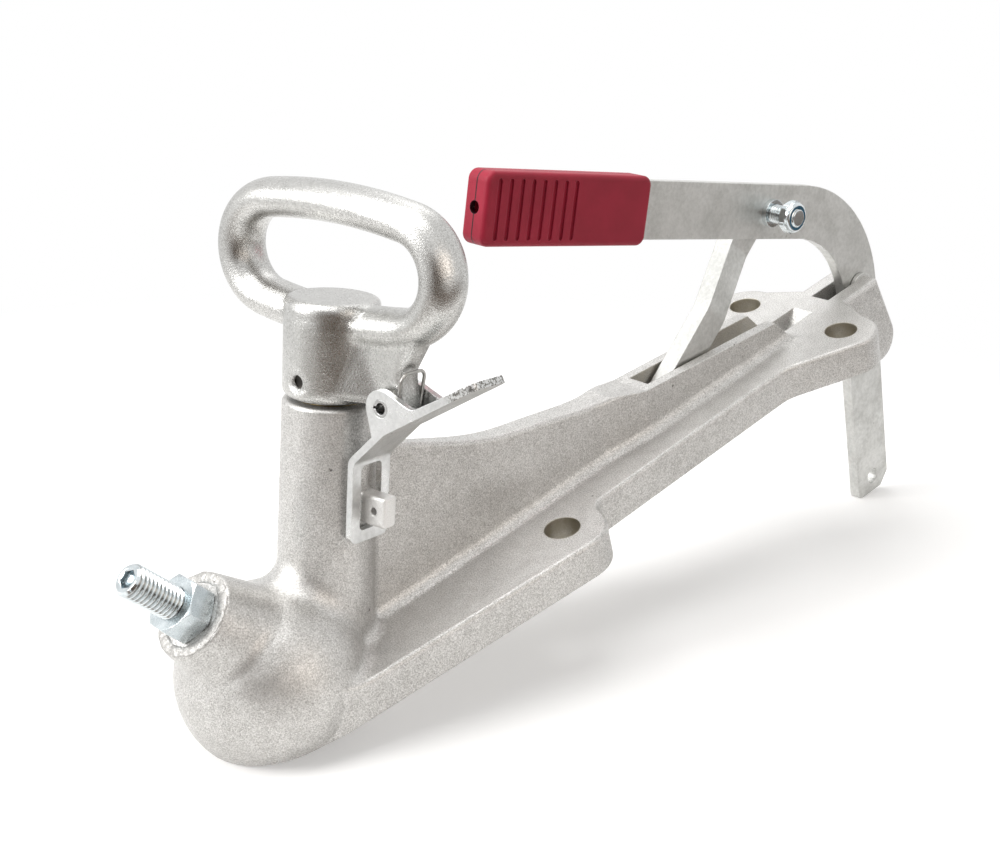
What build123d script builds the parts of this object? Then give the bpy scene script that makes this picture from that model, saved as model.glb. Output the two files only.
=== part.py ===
from build123d import *
import os
from math import asin, atan2, cos, degrees, hypot, radians, sin, sqrt, tan

# A cast trailer coupling head for a 50 mm ball, with a lift handle, a safety latch,
# an adjusting screw and a hand brake lever.
# Origin at the ball centre. X runs to the tail, Y to the far side, Z up from the flange.

# Ball and socket
ball_d = 50.0
ball_room = 0.4
dome_r = 34.0

# Flange and its four bolt holes
flange_t = 15.0
bolt_hole_d = 14.0
bolt_span = 54.0
front_bolt_x = 120.0
bolt_pitch = 174.0
front_ear_r = 17.2
rear_ear_r = 15.7
flange_start_x = 6.0
flange_start_half = 33.0
waist_half = 26.4
rear_ear_run = 38.0
waist_bend_r = 7.0
ear_bend_r = 20.0
tail_half = 17.8
tail_step = 1.5
flange_edge_r = 1.6
pocket_depth = 7.0
pocket_half = 17.0
pocket_front_x = 60.0
pocket_rear_gap = 12.0
pocket_corner_r = 5.0

# Web and slotted spine along the middle of the casting
web_front_x = 30.0
web_half = 9.0
web_crest = ((42, 66), (71, 57.6), (96, 45), (116, 36.4), (137, 31), (162, 25), (174, 23.4))
web_crest_r = 1.8
web_draft = 5.5
web_sink = 5.0
web_height = 72.0
web_bend_r = 4.5
spine_half = 11.6
spine_front_x = 165.0
spine_ramp = 24.0
spine_rear_x = 284.0
spine_crest = ((191, 18.4), (204, 17.2), (271, 10.6), (281, -2))
spine_slot_front_x = 196.0
spine_slot_rear_x = 302.0
spine_slot_half = 5.2

# Tower that guides the plunger; it leans back from the flange
tower_lean = 19.5
tower_foot_x = 23.8
tower_r = 16.6
tower_top = 90.4
tower_draft = 0.6
tower_top_r = 1.5
tower_bend_r = 9.0

# Lift handle, turned a little about the tower's axis
handle_turn = 11.0
collar_gap = 1.2
collar_top = 122.0
collar_blend_r = 3.0
crown_r = 16.4
crown_top = 125.8
crown_edge_r = 2.0
loop_centre = 137.6
loop_set_back = 2.0
loop_half_width = 45.8
loop_half_height = 19.9
loop_end_r = 17.8
bar_thickness = 14.0
bar_depth = 18.8
ear_out = 34.8
ear_top_out = 41.0
ear_t = 9.0
ear_pin_r = 5.4
ear_shoulder = 104.0
ear_bend = 107.0
ear_top = 119.0
neck_out = 28.0
neck_sink = 0.6
neck_taper = 12.0

# Plunger, bush, spring and cross pin in the tower
stem_r = 8.0
stem_top = 105.5
plunger_r = 11.6
plunger_run = 0.08
plunger_shoulder = 42.0
plunger_end_z = 17.5
plunger_edge = 0.8
bush_length = 10.0
spring_wire_d = 2.2
spring_turns = 7
cross_pin_d = 5.0
cross_pin_up = 98.8
cross_pin_sink = 1.6
lift_travel = 8.5

# Ball clamp behind the ball
clamp_half = 10.5
clamp_front_x = 12.0
clamp_top_z = 26.0
clamp_step_z = 15.0
clamp_lip_z = -11.0
clamp_foot_z = -7.0
clamp_foot_front_x = 27.0
clamp_rear_x = 33.0
wedge_x = 25.6

# Adjusting screw, its locknut, boss and ball shoe
screw_d = 12.0
screw_lean = 33.2
screw_offset = 5.2
screw_tip = 74.6
screw_hex = 6.0
screw_hex_depth = 7.0
screw_end_chamfer = 1.2
boss_r = 15.6
boss_taper = 12.0
boss_root = 18.0
boss_end = 44.2
boss_bend_r = 8.0
boss_edge_r = 1.2
locknut_flats = 19.0
locknut_t = 10.0
locknut_bevel = 0.9
locknut_turn = 0.0
shoe_r = 9.0
shoe_t = 4.5

# Latch of bent sheet on the handle's ear
sheet_t = 2.5
sheet_bend_r = 3.0
latch_half = 9.5
latch_pin_out = 31.0
latch_pin_up = 95.0
latch_pin_d = 6.0
latch_pin_bore_d = 4.0
latch_pin_slit = 1.0
latch_ear_r = 6.3
plate_gap = 0.5
plate_bottom = 43.8
plate_corner_r = 3.0
tab_slope = 32.5
knee_slope = 46.0
knee_out = 32.0
tab_drop = 7.15
tab_length = 58.6
tab_corner_r = 4.0
wing_foot_out = 28.0
wing_valley_out = 44.0
wing_end_out = 60.0
wing_valley_rise = 0.6
wing_valley_r = 5.0
slot_bottom = 48.0
slot_top = 71.5
slot_half = 5.2
slot_corner_r = 2.0
lug_half = 3.2
lug_bottom = 50.2
lug_top = 61.4
lug_out = 29.0
lug_edge_r = 0.8
lug_corner_r = 1.4
lug_dimple_d = 3.0
lug_dimple_depth = 0.9
lug_dimple_out = 24.2
lug_dimple_taper = 30.0

# Torsion spring of the latch
torsion_wire_d = 1.2
torsion_mean_r = 4.1
torsion_side = 5.9
torsion_out = 36.8
torsion_rise = 12.0
torsion_corner_r = 3.0

# Brake lever, a flat bar with one bend
lever_w = 23.4
lever_t = 5.0
lever_corner_x = 342.4
lever_corner_z = 30.9
arm_rise = 23.7
leg_lean = 2.2
arm_length = 220.0
leg_length = 148.4
lever_bend_r = 57.0
cable_hole_d = 8.0
cable_hole_up = 8.3
tip_chamfer = 6.0
tip_round_r = 3.0

# Lever pivot between the two cheeks of the casting
pivot_x = 339.5
pivot_z = -31.0
pivot_bolt_d = 10.0
pivot_head_flats = 16.0
pivot_head_t = 6.4
cheek_half = 12.5
cheek_r = 11.6
cheek_rear_x = 341.5
cheek_front_x = 306.0
cheek_blind = 5.0
cheek_edge_r = 2.2
lever_slot_front_x = 314.6
spacer_t = 1.9
spacer_half = 7.0
spacer_top_z = -5.4

# Two-part grip on the lever's arm
grip_length = 86.5
grip_height = 27.4
grip_t = 12.0
grip_end_t = 2.2
grip_end_room = 7.0
grip_corner_r = 4.0
grip_edge_r = 2.0
grip_groove_w = 1.9
grip_groove_depth = 0.9
grip_groove_pitch = 5.54
grip_grooves = 8
grip_groove_start = 6.0
grip_groove_height = 22.5
grip_hole_d = 4.8

# Stay between the lever and the spine's slot
stay_x = 285.5
stay_z = 55.5
stay_drop = 33.5
stay_w = 13.3
stay_t = 8.0
stay_length = 100.0
stay_shift = 6.9
stay_bend_start = 20.0
stay_bend_end = 52.0
stay_bend_r = 14.0
stay_bolt_d = 8.0
stay_head_flats = 13.0
stay_head_t = 5.3
stay_bush_d = 12.0
stay_bush_t = 2.2
stay_nut_gap = 3.8
stay_nut_flats = 13.0
stay_nut_hex_t = 6.0
stay_nut_t = 8.6
stay_bolt_proud = 0.6
stay_bolt_bevel = 0.6
insert_t = 2.2
insert_r = 5.2
insert_sink = 0.3
nut_wall = 0.9

# Clearances
slide_gap = 0.3
shoe_gap = 0.25
turn_run = 0.06
press_gap = 0.02
grip_room = 0.1

# How near a corner or edge has to be to the place it is looked for
corner_reach = 1.0
edge_reach = 0.01

# Worked-out sizes
socket_r = ball_d / 2 + ball_room
rim_r = sqrt(dome_r**2 - flange_t**2)
bolt_y = bolt_span / 2
rear_bolt_x = front_bolt_x + bolt_pitch
tower_sin = sin(radians(tower_lean))
tower_cos = cos(radians(tower_lean))
tower_spread = tan(radians(tower_draft))
bore_r = plunger_r + plunger_run
bore_end_z = plunger_end_z - slide_gap
lift_shift = lift_travel * tower_sin
collar_foot = tower_top + collar_gap
loop_end_x = loop_half_width - loop_end_r
loop_top_r = (loop_end_x**2 + loop_half_height**2 - loop_end_r**2) / (2 * (loop_half_height - loop_end_r))
loop_turn = degrees(asin(loop_end_x / (loop_top_r - loop_end_r)))
spring_mean_r = (stem_r + bore_r) / 2
spring_length = tower_top - bush_length - plunger_shoulder
wedge_face_x = wedge_x + slide_gap
cavity_half = clamp_half + slide_gap
cavity_rear_x = clamp_rear_x + lift_shift + slide_gap
cavity_floor_x = clamp_foot_front_x + lift_shift + slide_gap
shoe_back = socket_r + shoe_t
plate_out = tower_r + plate_gap + (tower_top - slot_bottom) * tower_spread
plate_mid = plate_out + sheet_t / 2
tab_cos = cos(radians(tab_slope))
tab_sin = sin(radians(tab_slope))
tab_run = (plate_mid - latch_pin_out - tab_drop * tab_sin) / tab_cos
tab_foot_up = latch_pin_up - tab_drop * tab_cos + tab_run * tab_sin
knee_up = tab_foot_up + (knee_out - plate_mid) * tab_sin / tab_cos
fold_up = knee_up - (knee_out - plate_mid) * tan(radians(knee_slope))
tab_tip_out = plate_mid + tab_length * tab_cos
tab_tip_up = tab_foot_up + tab_length * tab_sin
lever_slot_half = lever_t / 2 + spacer_t + slide_gap
arm_cos = cos(radians(arm_rise))
arm_sin = sin(radians(arm_rise))
leg_cos = cos(radians(leg_lean))
leg_sin = sin(radians(leg_lean))
tip_x = lever_corner_x - leg_length * leg_sin
tip_z = lever_corner_z - leg_length * leg_cos
grip_end = arm_length + grip_end_room + grip_end_t
stay_far_y = stay_shift - stay_t / 2
stay_head_y = stay_far_y + stay_t
stay_nut_y = -(lever_t / 2 + stay_bush_t + stay_nut_gap + stay_nut_t)


def hex_radius(flats):
    """Corner radius of a hexagon from the distance across its flats."""
    return flats / sqrt(3)


def touch_point(start, centre, r, turn):
    """Point where a line from the start touches a circle, on its left (1) or right (-1)."""
    gap = hypot(centre[0] - start[0], centre[1] - start[1])
    angle = atan2(centre[1] - start[1], centre[0] - start[0]) + turn * asin(r / gap)
    reach = sqrt(gap * gap - r * r)
    return (start[0] + reach * cos(angle), start[1] + reach * sin(angle))


def shared_edges(some_faces, other_faces):
    """Edges where a face of the first group meets a face of the second."""
    others = [edge for face in other_faces for edge in face.edges()]
    return [
        edge for face in some_faces for edge in face.edges()
        if any(edge.is_same(other) for other in others)
    ]


def tab_point(out, rise):
    """Point of the latch's side view, at a rise square to the middle of the tab's sheet."""
    along = (out - plate_mid + rise * tab_sin) / tab_cos
    return (out, tab_foot_up + along * tab_sin + rise * tab_cos)


# Working planes
tower_plane = Plane(
    origin=(tower_foot_x, 0, 0),
    x_dir=(tower_cos, 0, -tower_sin),
    z_dir=(tower_sin, 0, tower_cos),
)
handle_plane = Plane(
    origin=tower_plane.origin,
    x_dir=tower_plane.x_dir * cos(radians(handle_turn)) + tower_plane.y_dir * sin(radians(handle_turn)),
    z_dir=tower_plane.z_dir,
)
loop_plane = Plane(
    origin=handle_plane.from_local_coords((loop_set_back, 0, loop_centre)),
    x_dir=handle_plane.y_dir,
    z_dir=handle_plane.x_dir,
)
side_plane = Plane(
    origin=handle_plane.origin,
    x_dir=-handle_plane.y_dir,
    z_dir=-handle_plane.x_dir,
)
face_plane = Plane(origin=handle_plane.origin, x_dir=handle_plane.x_dir, z_dir=-handle_plane.y_dir)
screw_axis = Vector(-sin(radians(screw_lean)), 0, cos(radians(screw_lean)))
screw_side = Vector(cos(radians(screw_lean)), 0, sin(radians(screw_lean)))
screw_plane = Plane(origin=screw_side * screw_offset, x_dir=screw_side, z_dir=screw_axis)
arm_plane = Plane(
    origin=(lever_corner_x, 0, lever_corner_z),
    x_dir=(-arm_cos, 0, arm_sin),
    z_dir=(0, 1, 0),
)
pivot_plane = Plane(origin=(pivot_x, 0, pivot_z), x_dir=(1, 0, 0), z_dir=(0, 1, 0))
stay_plane = Plane(
    origin=(stay_x, 0, stay_z),
    x_dir=(-cos(radians(stay_drop)), 0, -sin(radians(stay_drop))),
    z_dir=(0, 1, 0),
)
stay_edge_plane = Plane(origin=stay_plane.origin, x_dir=stay_plane.x_dir, z_dir=-stay_plane.y_dir)

# Casting: socket, flange, web, spine, tower and cheeks in one piece
rim_touch = touch_point((flange_start_x, -flange_start_half), (0, 0), rim_r, 1)
front_touch = touch_point(
    (flange_start_x, -flange_start_half), (front_bolt_x, -bolt_y), front_ear_r, -1
)
rear_touch = touch_point(
    (rear_bolt_x - rear_ear_run, -waist_half), (rear_bolt_x, -bolt_y), rear_ear_r, -1
)
cheek_rear_touch = touch_point((cheek_rear_x, 0), (pivot_x, pivot_z), cheek_r, 1)
cheek_low_touch = touch_point((cheek_front_x, -flange_t), (pivot_x, pivot_z), cheek_r, -1)

with BuildPart() as coupling_body:
    # Web and spine, drafted to both sides and cut to their side profile
    with BuildSketch(Plane.XY.offset(-web_sink)):
        with BuildLine():
            Polyline(
                (web_front_x, 0),
                (web_front_x, -web_half),
                (spine_front_x, -web_half),
                (spine_front_x + spine_ramp, -spine_half),
                (spine_rear_x, -spine_half),
                (spine_rear_x, 0),
            )
            mirror(about=Plane.XZ)
        make_face()
    extrude(amount=web_height, taper=web_draft)
    with BuildSketch(Plane.XZ.offset(spine_half)):
        with BuildLine():
            crest = Spline(*web_crest)
            Polyline(
                crest @ 1,
                *spine_crest,
                (spine_crest[-1][0], -flange_t),
                (web_front_x, -flange_t),
                (web_front_x, web_crest[0][1]),
                crest @ 0,
            )
        make_face()
    extrude(amount=-2 * spine_half, mode=Mode.INTERSECT)
    crest_faces = coupling_body.faces().filter_by(GeomType.EXTRUSION)
    fillet(shared_edges(crest_faces, coupling_body.faces().filter_by(GeomType.PLANE)), web_crest_r)

    # Flange with four ears
    with BuildSketch(Plane.XY.offset(-flange_t)) as flange_plan:
        with BuildLine():
            Polyline(
                (0, 0),
                (0, -dome_r / 2),
                (flange_start_x, -flange_start_half),
                front_touch,
                (front_bolt_x, -waist_half),
                (rear_bolt_x - rear_ear_run, -waist_half),
                rear_touch,
                (rear_bolt_x, -bolt_y),
                (rear_bolt_x + rear_ear_r, -bolt_y),
                (lever_slot_front_x, -tail_half),
                (lever_slot_front_x + tail_step, -cheek_half),
                (lever_slot_front_x + tail_step, 0),
            )
            mirror(about=Plane.XZ)
        make_face()
        with Locations((front_bolt_x, -bolt_y), (front_bolt_x, bolt_y)):
            Circle(front_ear_r)
        with Locations((rear_bolt_x, -bolt_y), (rear_bolt_x, bolt_y)):
            Circle(rear_ear_r)
        waist_corners = [
            v for v in flange_plan.vertices()
            if abs(abs(v.Y) - waist_half) < corner_reach
            and abs(v.X - front_bolt_x - front_ear_r) < corner_reach
        ]
        fillet(waist_corners, waist_bend_r)
        ear_corners = [
            v for v in flange_plan.vertices()
            if abs(v.X - rear_bolt_x + rear_ear_run) < corner_reach
            and abs(abs(v.Y) - waist_half) < corner_reach
        ]
        fillet(ear_corners, ear_bend_r)
    extrude(amount=flange_t)

    # Socket dome, tower and the boss of the adjusting screw
    with BuildSketch(Plane.XZ):
        with BuildLine():
            Polyline((0, -flange_t), (0, dome_r))
            RadiusArc((0, dome_r), (rim_r, -flange_t), dome_r)
            Line((rim_r, -flange_t), (0, -flange_t))
        make_face()
    revolve(axis=Axis.Z)
    with BuildSketch(tower_plane):
        Circle(tower_r + tower_top * tower_spread)
    extrude(amount=tower_top, taper=tower_draft)
    cones = coupling_body.faces().filter_by(GeomType.CONE)
    tower_cone = cones.sort_by(SortBy.AREA)[-1:]
    fillet(shared_edges(tower_cone, coupling_body.faces().filter_by(GeomType.SPHERE)), tower_bend_r)
    with BuildSketch(screw_plane.offset(boss_root)):
        Circle(boss_r + (boss_end - boss_root) * tan(radians(boss_taper)))
    extrude(amount=boss_end - boss_root, taper=boss_taper)
    boss_side = coupling_body.faces().filter_by(GeomType.CONE).sort_by(Axis.X)[:1]
    fillet(shared_edges(boss_side, coupling_body.faces().filter_by(GeomType.SPHERE)), boss_bend_r)

    # Rounded inner corners along the web's foot and up the tower
    level_faces = coupling_body.faces().filter_by(Plane.XY)
    flange_top = level_faces.filter_by_position(Axis.Z, -edge_reach, edge_reach)
    foot = [
        edge for edge in flange_top.edges()
        if abs(edge.center().Y) < tower_r and edge.center().X < spine_rear_x
    ]
    tower_side = coupling_body.faces().filter_by(GeomType.CONE).sort_by(SortBy.AREA)[-1:]
    web_sides = coupling_body.faces().filter_by(GeomType.PLANE)
    flank = [
        edge for edge in shared_edges(tower_side, web_sides)
        if web_bend_r < edge.center().Z < tower_top * tower_cos - tower_r
    ]
    fillet(foot + flank, web_bend_r)

    # Skirts that lead the dome's rim into the flange
    with BuildSketch(Plane.XY.offset(-flange_t)):
        with BuildLine():
            Polyline((flange_start_x, 0), rim_touch, (flange_start_x, -flange_start_half), close=True)
        make_face()
        mirror(about=Plane.XZ)
    extrude(amount=flange_t)

    # Cheeks that carry the lever's pivot
    with BuildSketch(Plane.XZ.offset(cheek_half)):
        with BuildLine():
            Polyline(
                cheek_low_touch,
                (cheek_front_x, -flange_t),
                (cheek_front_x, 0),
                (cheek_rear_x, 0),
                cheek_rear_touch,
            )
            RadiusArc(cheek_rear_touch, cheek_low_touch, cheek_r)
        make_face()
    extrude(amount=-2 * cheek_half)
    rear_edges = [
        edge for edge in coupling_body.edges()
        if abs(abs(edge.center().Y) - cheek_half) < edge_reach
        and edge.center().X > lever_slot_front_x + tail_step
        and edge.bounding_box().size.Y < edge_reach
    ]
    fillet(rear_edges, cheek_edge_r)

    # Lug that the latch's plate hangs on
    with BuildSketch(face_plane.offset(bore_r)):
        with Locations((0, (lug_bottom + lug_top) / 2)):
            RectangleRounded(2 * lug_half, lug_top - lug_bottom, lug_corner_r)
    extrude(amount=lug_out - bore_r)
    with BuildSketch(side_plane.offset(lug_half)):
        with Locations((lug_dimple_out, (lug_bottom + lug_top) / 2)):
            Circle(lug_dimple_d / 2)
    extrude(amount=-lug_dimple_depth, taper=lug_dimple_taper, mode=Mode.SUBTRACT)

    # Socket with its open mouth, and the room for the ball clamp
    with BuildSketch(Plane.XZ):
        with BuildLine():
            Polyline((0, -flange_t), (0, socket_r))
            RadiusArc((0, socket_r), (socket_r, 0), socket_r)
            Polyline((socket_r, 0), (socket_r, -flange_t), (0, -flange_t))
        make_face()
    revolve(axis=Axis.Z, mode=Mode.SUBTRACT)
    with BuildSketch(Plane.XZ.offset(cavity_half)):
        with BuildLine():
            Polyline(
                (clamp_front_x - slide_gap, -flange_t),
                (cavity_floor_x, -flange_t),
                (cavity_floor_x, clamp_foot_z - slide_gap),
                (cavity_rear_x, clamp_foot_z - slide_gap),
                (cavity_rear_x, clamp_top_z + slide_gap),
                (clamp_front_x - slide_gap, clamp_top_z + slide_gap),
                close=True,
            )
        make_face()
    extrude(amount=-2 * cavity_half, mode=Mode.SUBTRACT)

    # Bore of the tower, down to the room of the clamp
    with BuildSketch(Plane.XY.offset(bore_end_z)):
        with Locations((tower_foot_x + bore_end_z * tower_sin / tower_cos, 0)):
            Ellipse(bore_r / tower_cos, bore_r)
    extrude(amount=tower_top, dir=tower_plane.z_dir, mode=Mode.SUBTRACT)

    # Threaded hole of the adjusting screw and the recess of the ball shoe
    with BuildSketch(screw_plane):
        Circle(screw_d / 2 + press_gap)
    extrude(amount=boss_end, mode=Mode.SUBTRACT)
    with BuildSketch(screw_plane):
        Circle(shoe_r + shoe_gap)
    extrude(amount=shoe_back + shoe_gap, mode=Mode.SUBTRACT)

    # Bolt holes, spine slot, lever slot and pivot hole
    with BuildSketch(Plane.XY.offset(-flange_t)):
        with Locations((front_bolt_x + bolt_pitch / 2, 0)):
            with GridLocations(bolt_pitch, bolt_span, 2, 2):
                Circle(bolt_hole_d / 2)
    extrude(amount=flange_t, mode=Mode.SUBTRACT)
    with BuildSketch(Plane.XZ.offset(spine_slot_half)):
        with BuildLine():
            Polyline(
                (spine_slot_front_x, -flange_t),
                (spine_slot_rear_x - flange_t, -flange_t),
                (spine_slot_rear_x, 0),
                (spine_slot_rear_x, web_height),
                (spine_slot_front_x, web_height),
                close=True,
            )
        make_face()
    extrude(amount=-2 * spine_slot_half, mode=Mode.SUBTRACT)
    with BuildSketch(Plane.XZ.offset(lever_slot_half)):
        with Locations((lever_slot_front_x + cheek_half * 2, pivot_z / 2)):
            Rectangle(4 * cheek_half, 8 * cheek_half)
    extrude(amount=-2 * lever_slot_half, mode=Mode.SUBTRACT)
    with BuildSketch(pivot_plane.offset(-lever_slot_half - cheek_blind)):
        Circle(pivot_bolt_d / 2 + press_gap)
    extrude(amount=2 * cheek_half, mode=Mode.SUBTRACT)

    # Pocket in the underside
    with BuildSketch(Plane.XY.offset(-flange_t)):
        with BuildLine():
            FilletPolyline(
                (pocket_front_x, -pocket_half),
                (lever_slot_front_x - pocket_rear_gap, -pocket_half),
                (lever_slot_front_x - pocket_rear_gap, pocket_half),
                (pocket_front_x, pocket_half),
                radius=pocket_corner_r,
                close=True,
            )
        make_face()
    extrude(amount=pocket_depth, mode=Mode.SUBTRACT)

    # Softened outer edges of the flange, tower top, boss and lug
    level_faces = coupling_body.faces().filter_by(Plane.XY)
    holed_top = level_faces.filter_by_position(Axis.Z, -edge_reach, edge_reach)
    rim = [
        edge for edge in holed_top.edges()
        if not edge.is_closed and abs(edge.center().Y) > tail_half and edge.center().X > dome_r
    ]
    fillet(rim, flange_edge_r)
    tower_end = coupling_body.faces().filter_by(tower_plane).sort_by(Axis.Z)[-1]
    fillet(tower_end.outer_wire().edges(), tower_top_r)
    boss_face = coupling_body.faces().filter_by(screw_plane).sort_by(Axis.X)[0]
    fillet(boss_face.outer_wire().edges(), boss_edge_r)
    lug_end = coupling_body.faces().filter_by(face_plane).sort_by(Axis.Y)[0]
    fillet(lug_end.outer_wire().edges(), lug_edge_r)

# Lift handle: collar, crown, ear and loop in one piece
with BuildPart() as crown:
    with BuildSketch(handle_plane.offset(collar_top - collar_blend_r)):
        Circle(crown_r)
    extrude(amount=crown_top - collar_top + collar_blend_r)
    fillet(crown.edges().filter_by(GeomType.CIRCLE).sort_by(Axis.Z)[-1], crown_edge_r)

with BuildPart() as release_handle:
    with BuildSketch(handle_plane.offset(collar_foot)):
        Circle(tower_r)
    extrude(amount=collar_top - collar_foot)
    with BuildLine(loop_plane) as loop_path:
        CenterArc((loop_end_x, 0), loop_end_r, loop_turn - 90, 180 - 2 * loop_turn)
        CenterArc((0, loop_half_height - loop_top_r), loop_top_r, 90 - loop_turn, 2 * loop_turn)
        CenterArc((-loop_end_x, 0), loop_end_r, 90 + loop_turn, 180 - 2 * loop_turn)
        CenterArc((0, loop_top_r - loop_half_height), loop_top_r, 270 - loop_turn, 2 * loop_turn)
    loop_wire = loop_path.wire()
    with BuildSketch(Plane(origin=loop_wire @ 0, x_dir=loop_plane.z_dir, z_dir=loop_wire % 0)):
        Ellipse(bar_depth / 2, bar_thickness / 2)
    sweep(path=loop_wire)
    bars = release_handle.faces().filter_by(GeomType.REVOLUTION)
    collar_side = release_handle.faces().filter_by(GeomType.CYLINDER)
    collar_ends = release_handle.faces().filter_by(GeomType.PLANE)
    fillet(
        shared_edges(bars, collar_side + collar_ends) + shared_edges(collar_side, collar_ends),
        collar_blend_r,
    )
    with BuildSketch(side_plane.offset(-ear_t / 2)):
        with BuildLine():
            Polyline(
                (latch_pin_out + ear_pin_r, latch_pin_up),
                (ear_out, ear_shoulder),
                (ear_out, ear_bend),
                (ear_top_out, ear_top),
                (tower_r / 2, ear_top),
                (tower_r / 2, collar_foot + collar_blend_r),
                (tower_r, collar_foot + collar_blend_r),
                (latch_pin_out, latch_pin_up - ear_pin_r),
            )
            RadiusArc(
                (latch_pin_out, latch_pin_up - ear_pin_r),
                (latch_pin_out + ear_pin_r, latch_pin_up),
                -ear_pin_r,
            )
        make_face()
    extrude(amount=ear_t)
    with BuildSketch(handle_plane.offset(collar_foot + collar_blend_r)):
        with BuildLine():
            Polyline(
                (0, 0),
                touch_point((-ear_t / 2, -neck_out), (0, 0), tower_r - neck_sink, 1),
                (-ear_t / 2, -neck_out),
                (ear_t / 2, -neck_out),
                touch_point((ear_t / 2, -neck_out), (0, 0), tower_r - neck_sink, -1),
                close=True,
            )
        make_face()
    extrude(amount=ear_top - collar_foot - collar_blend_r, taper=neck_taper)
    add(crown.part)
    with BuildSketch(handle_plane.offset(collar_foot)):
        Circle(stem_r + press_gap)
    extrude(amount=stem_top + slide_gap - collar_foot, mode=Mode.SUBTRACT)
    with BuildSketch(side_plane):
        with Locations((0, cross_pin_up)):
            Circle(cross_pin_d / 2 + press_gap)
    extrude(amount=2 * tower_r, both=True, mode=Mode.SUBTRACT)
    with BuildSketch(side_plane):
        with Locations((latch_pin_out, latch_pin_up)):
            Circle(latch_pin_d / 2 + press_gap)
    extrude(amount=ear_t, both=True, mode=Mode.SUBTRACT)

# Plunger with a flat wedge face toward the ball clamp
with BuildPart() as plunger:
    with BuildSketch(tower_plane):
        Circle(plunger_r)
    extrude(amount=plunger_shoulder)
    with BuildSketch(tower_plane.offset(plunger_shoulder)):
        Circle(stem_r)
    extrude(amount=stem_top - plunger_shoulder)
    chamfer(plunger.edges().filter_by(GeomType.CIRCLE).sort_by(Axis.Z)[-1], plunger_edge)
    with BuildSketch(Plane.XZ.offset(2 * plunger_r)):
        with BuildLine():
            Polyline(
                (wedge_face_x, tower_top),
                (wedge_face_x, plunger_end_z),
                (tower_foot_x + 2 * plunger_r, plunger_end_z),
                (tower_foot_x + 2 * plunger_r, -plunger_r),
                (tower_foot_x - 2 * plunger_r, -plunger_r),
                (tower_foot_x - 2 * plunger_r, tower_top),
                close=True,
            )
        make_face()
    extrude(amount=-4 * plunger_r, mode=Mode.SUBTRACT)
    with BuildSketch(side_plane):
        with Locations((0, cross_pin_up)):
            Circle(cross_pin_d / 2 + press_gap)
    extrude(amount=2 * stem_r, both=True, mode=Mode.SUBTRACT)

# Pin that holds the handle on the plunger's stem
with BuildPart() as handle_cross_pin:
    with BuildSketch(side_plane.offset(cross_pin_sink - tower_r)):
        with Locations((0, cross_pin_up)):
            Circle(cross_pin_d / 2)
    extrude(amount=2 * (tower_r - cross_pin_sink))

# Bush in the tower's top
with BuildPart() as guide_bush:
    with BuildSketch(tower_plane.offset(tower_top - bush_length)):
        Circle(bore_r - press_gap)
        Circle(stem_r + plunger_run, mode=Mode.SUBTRACT)
    extrude(amount=bush_length)

# Coil spring between the plunger's shoulder and the bush
coil_height = spring_length - spring_wire_d - 2 * slide_gap
with BuildPart() as plunger_spring:
    with BuildLine(tower_plane.offset(plunger_shoulder + slide_gap + spring_wire_d / 2)) as coil:
        Helix(coil_height / spring_turns, coil_height, spring_mean_r, direction=tower_plane.z_dir)
    with BuildSketch(Plane(origin=coil.line @ 0, x_dir=tower_plane.x_dir, z_dir=coil.line % 0)):
        Circle(spring_wire_d / 2)
    sweep(path=coil.line, is_frenet=True)

# Clamp that closes behind the ball
with BuildPart() as ball_clamp:
    with BuildSketch(Plane.XZ.offset(clamp_half)):
        with BuildLine():
            Polyline(
                (clamp_front_x, clamp_top_z),
                (wedge_x, clamp_top_z),
                (wedge_x, clamp_step_z),
                (clamp_rear_x, clamp_step_z),
                (clamp_rear_x, clamp_foot_z),
                (clamp_foot_front_x, clamp_foot_z),
                (clamp_foot_front_x, clamp_lip_z),
                (clamp_front_x, clamp_lip_z),
                close=True,
            )
        make_face()
    extrude(amount=-2 * clamp_half)
    Sphere(socket_r, mode=Mode.SUBTRACT)

# Adjusting screw with a hexagon socket in its outer end
with BuildPart() as adjuster_screw:
    with BuildSketch(screw_plane.offset(shoe_back)):
        Circle(screw_d / 2)
    extrude(amount=screw_tip - shoe_back)
    chamfer(adjuster_screw.edges().filter_by(GeomType.CIRCLE), screw_end_chamfer)
    with BuildSketch(screw_plane.offset(screw_tip)):
        RegularPolygon(hex_radius(screw_hex), 6)
    extrude(amount=-screw_hex_depth, mode=Mode.SUBTRACT)

# Locknut of the adjusting screw
with BuildPart() as adjuster_locknut:
    with BuildSketch(screw_plane.offset(boss_end)):
        Circle(hex_radius(locknut_flats))
    extrude(amount=locknut_t)
    chamfer(adjuster_locknut.edges().filter_by(GeomType.CIRCLE), locknut_bevel)
    with BuildSketch(screw_plane.offset(boss_end)):
        RegularPolygon(hex_radius(locknut_flats), 6, rotation=locknut_turn)
    extrude(amount=locknut_t, mode=Mode.INTERSECT)
    with BuildSketch(screw_plane.offset(boss_end)):
        Circle(screw_d / 2 + press_gap)
    extrude(amount=locknut_t, mode=Mode.SUBTRACT)

# Shoe between the adjusting screw and the ball
with BuildPart() as ball_shoe:
    with BuildSketch(screw_plane):
        Circle(shoe_r)
    extrude(amount=shoe_back)
    Sphere(socket_r, mode=Mode.SUBTRACT)

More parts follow.
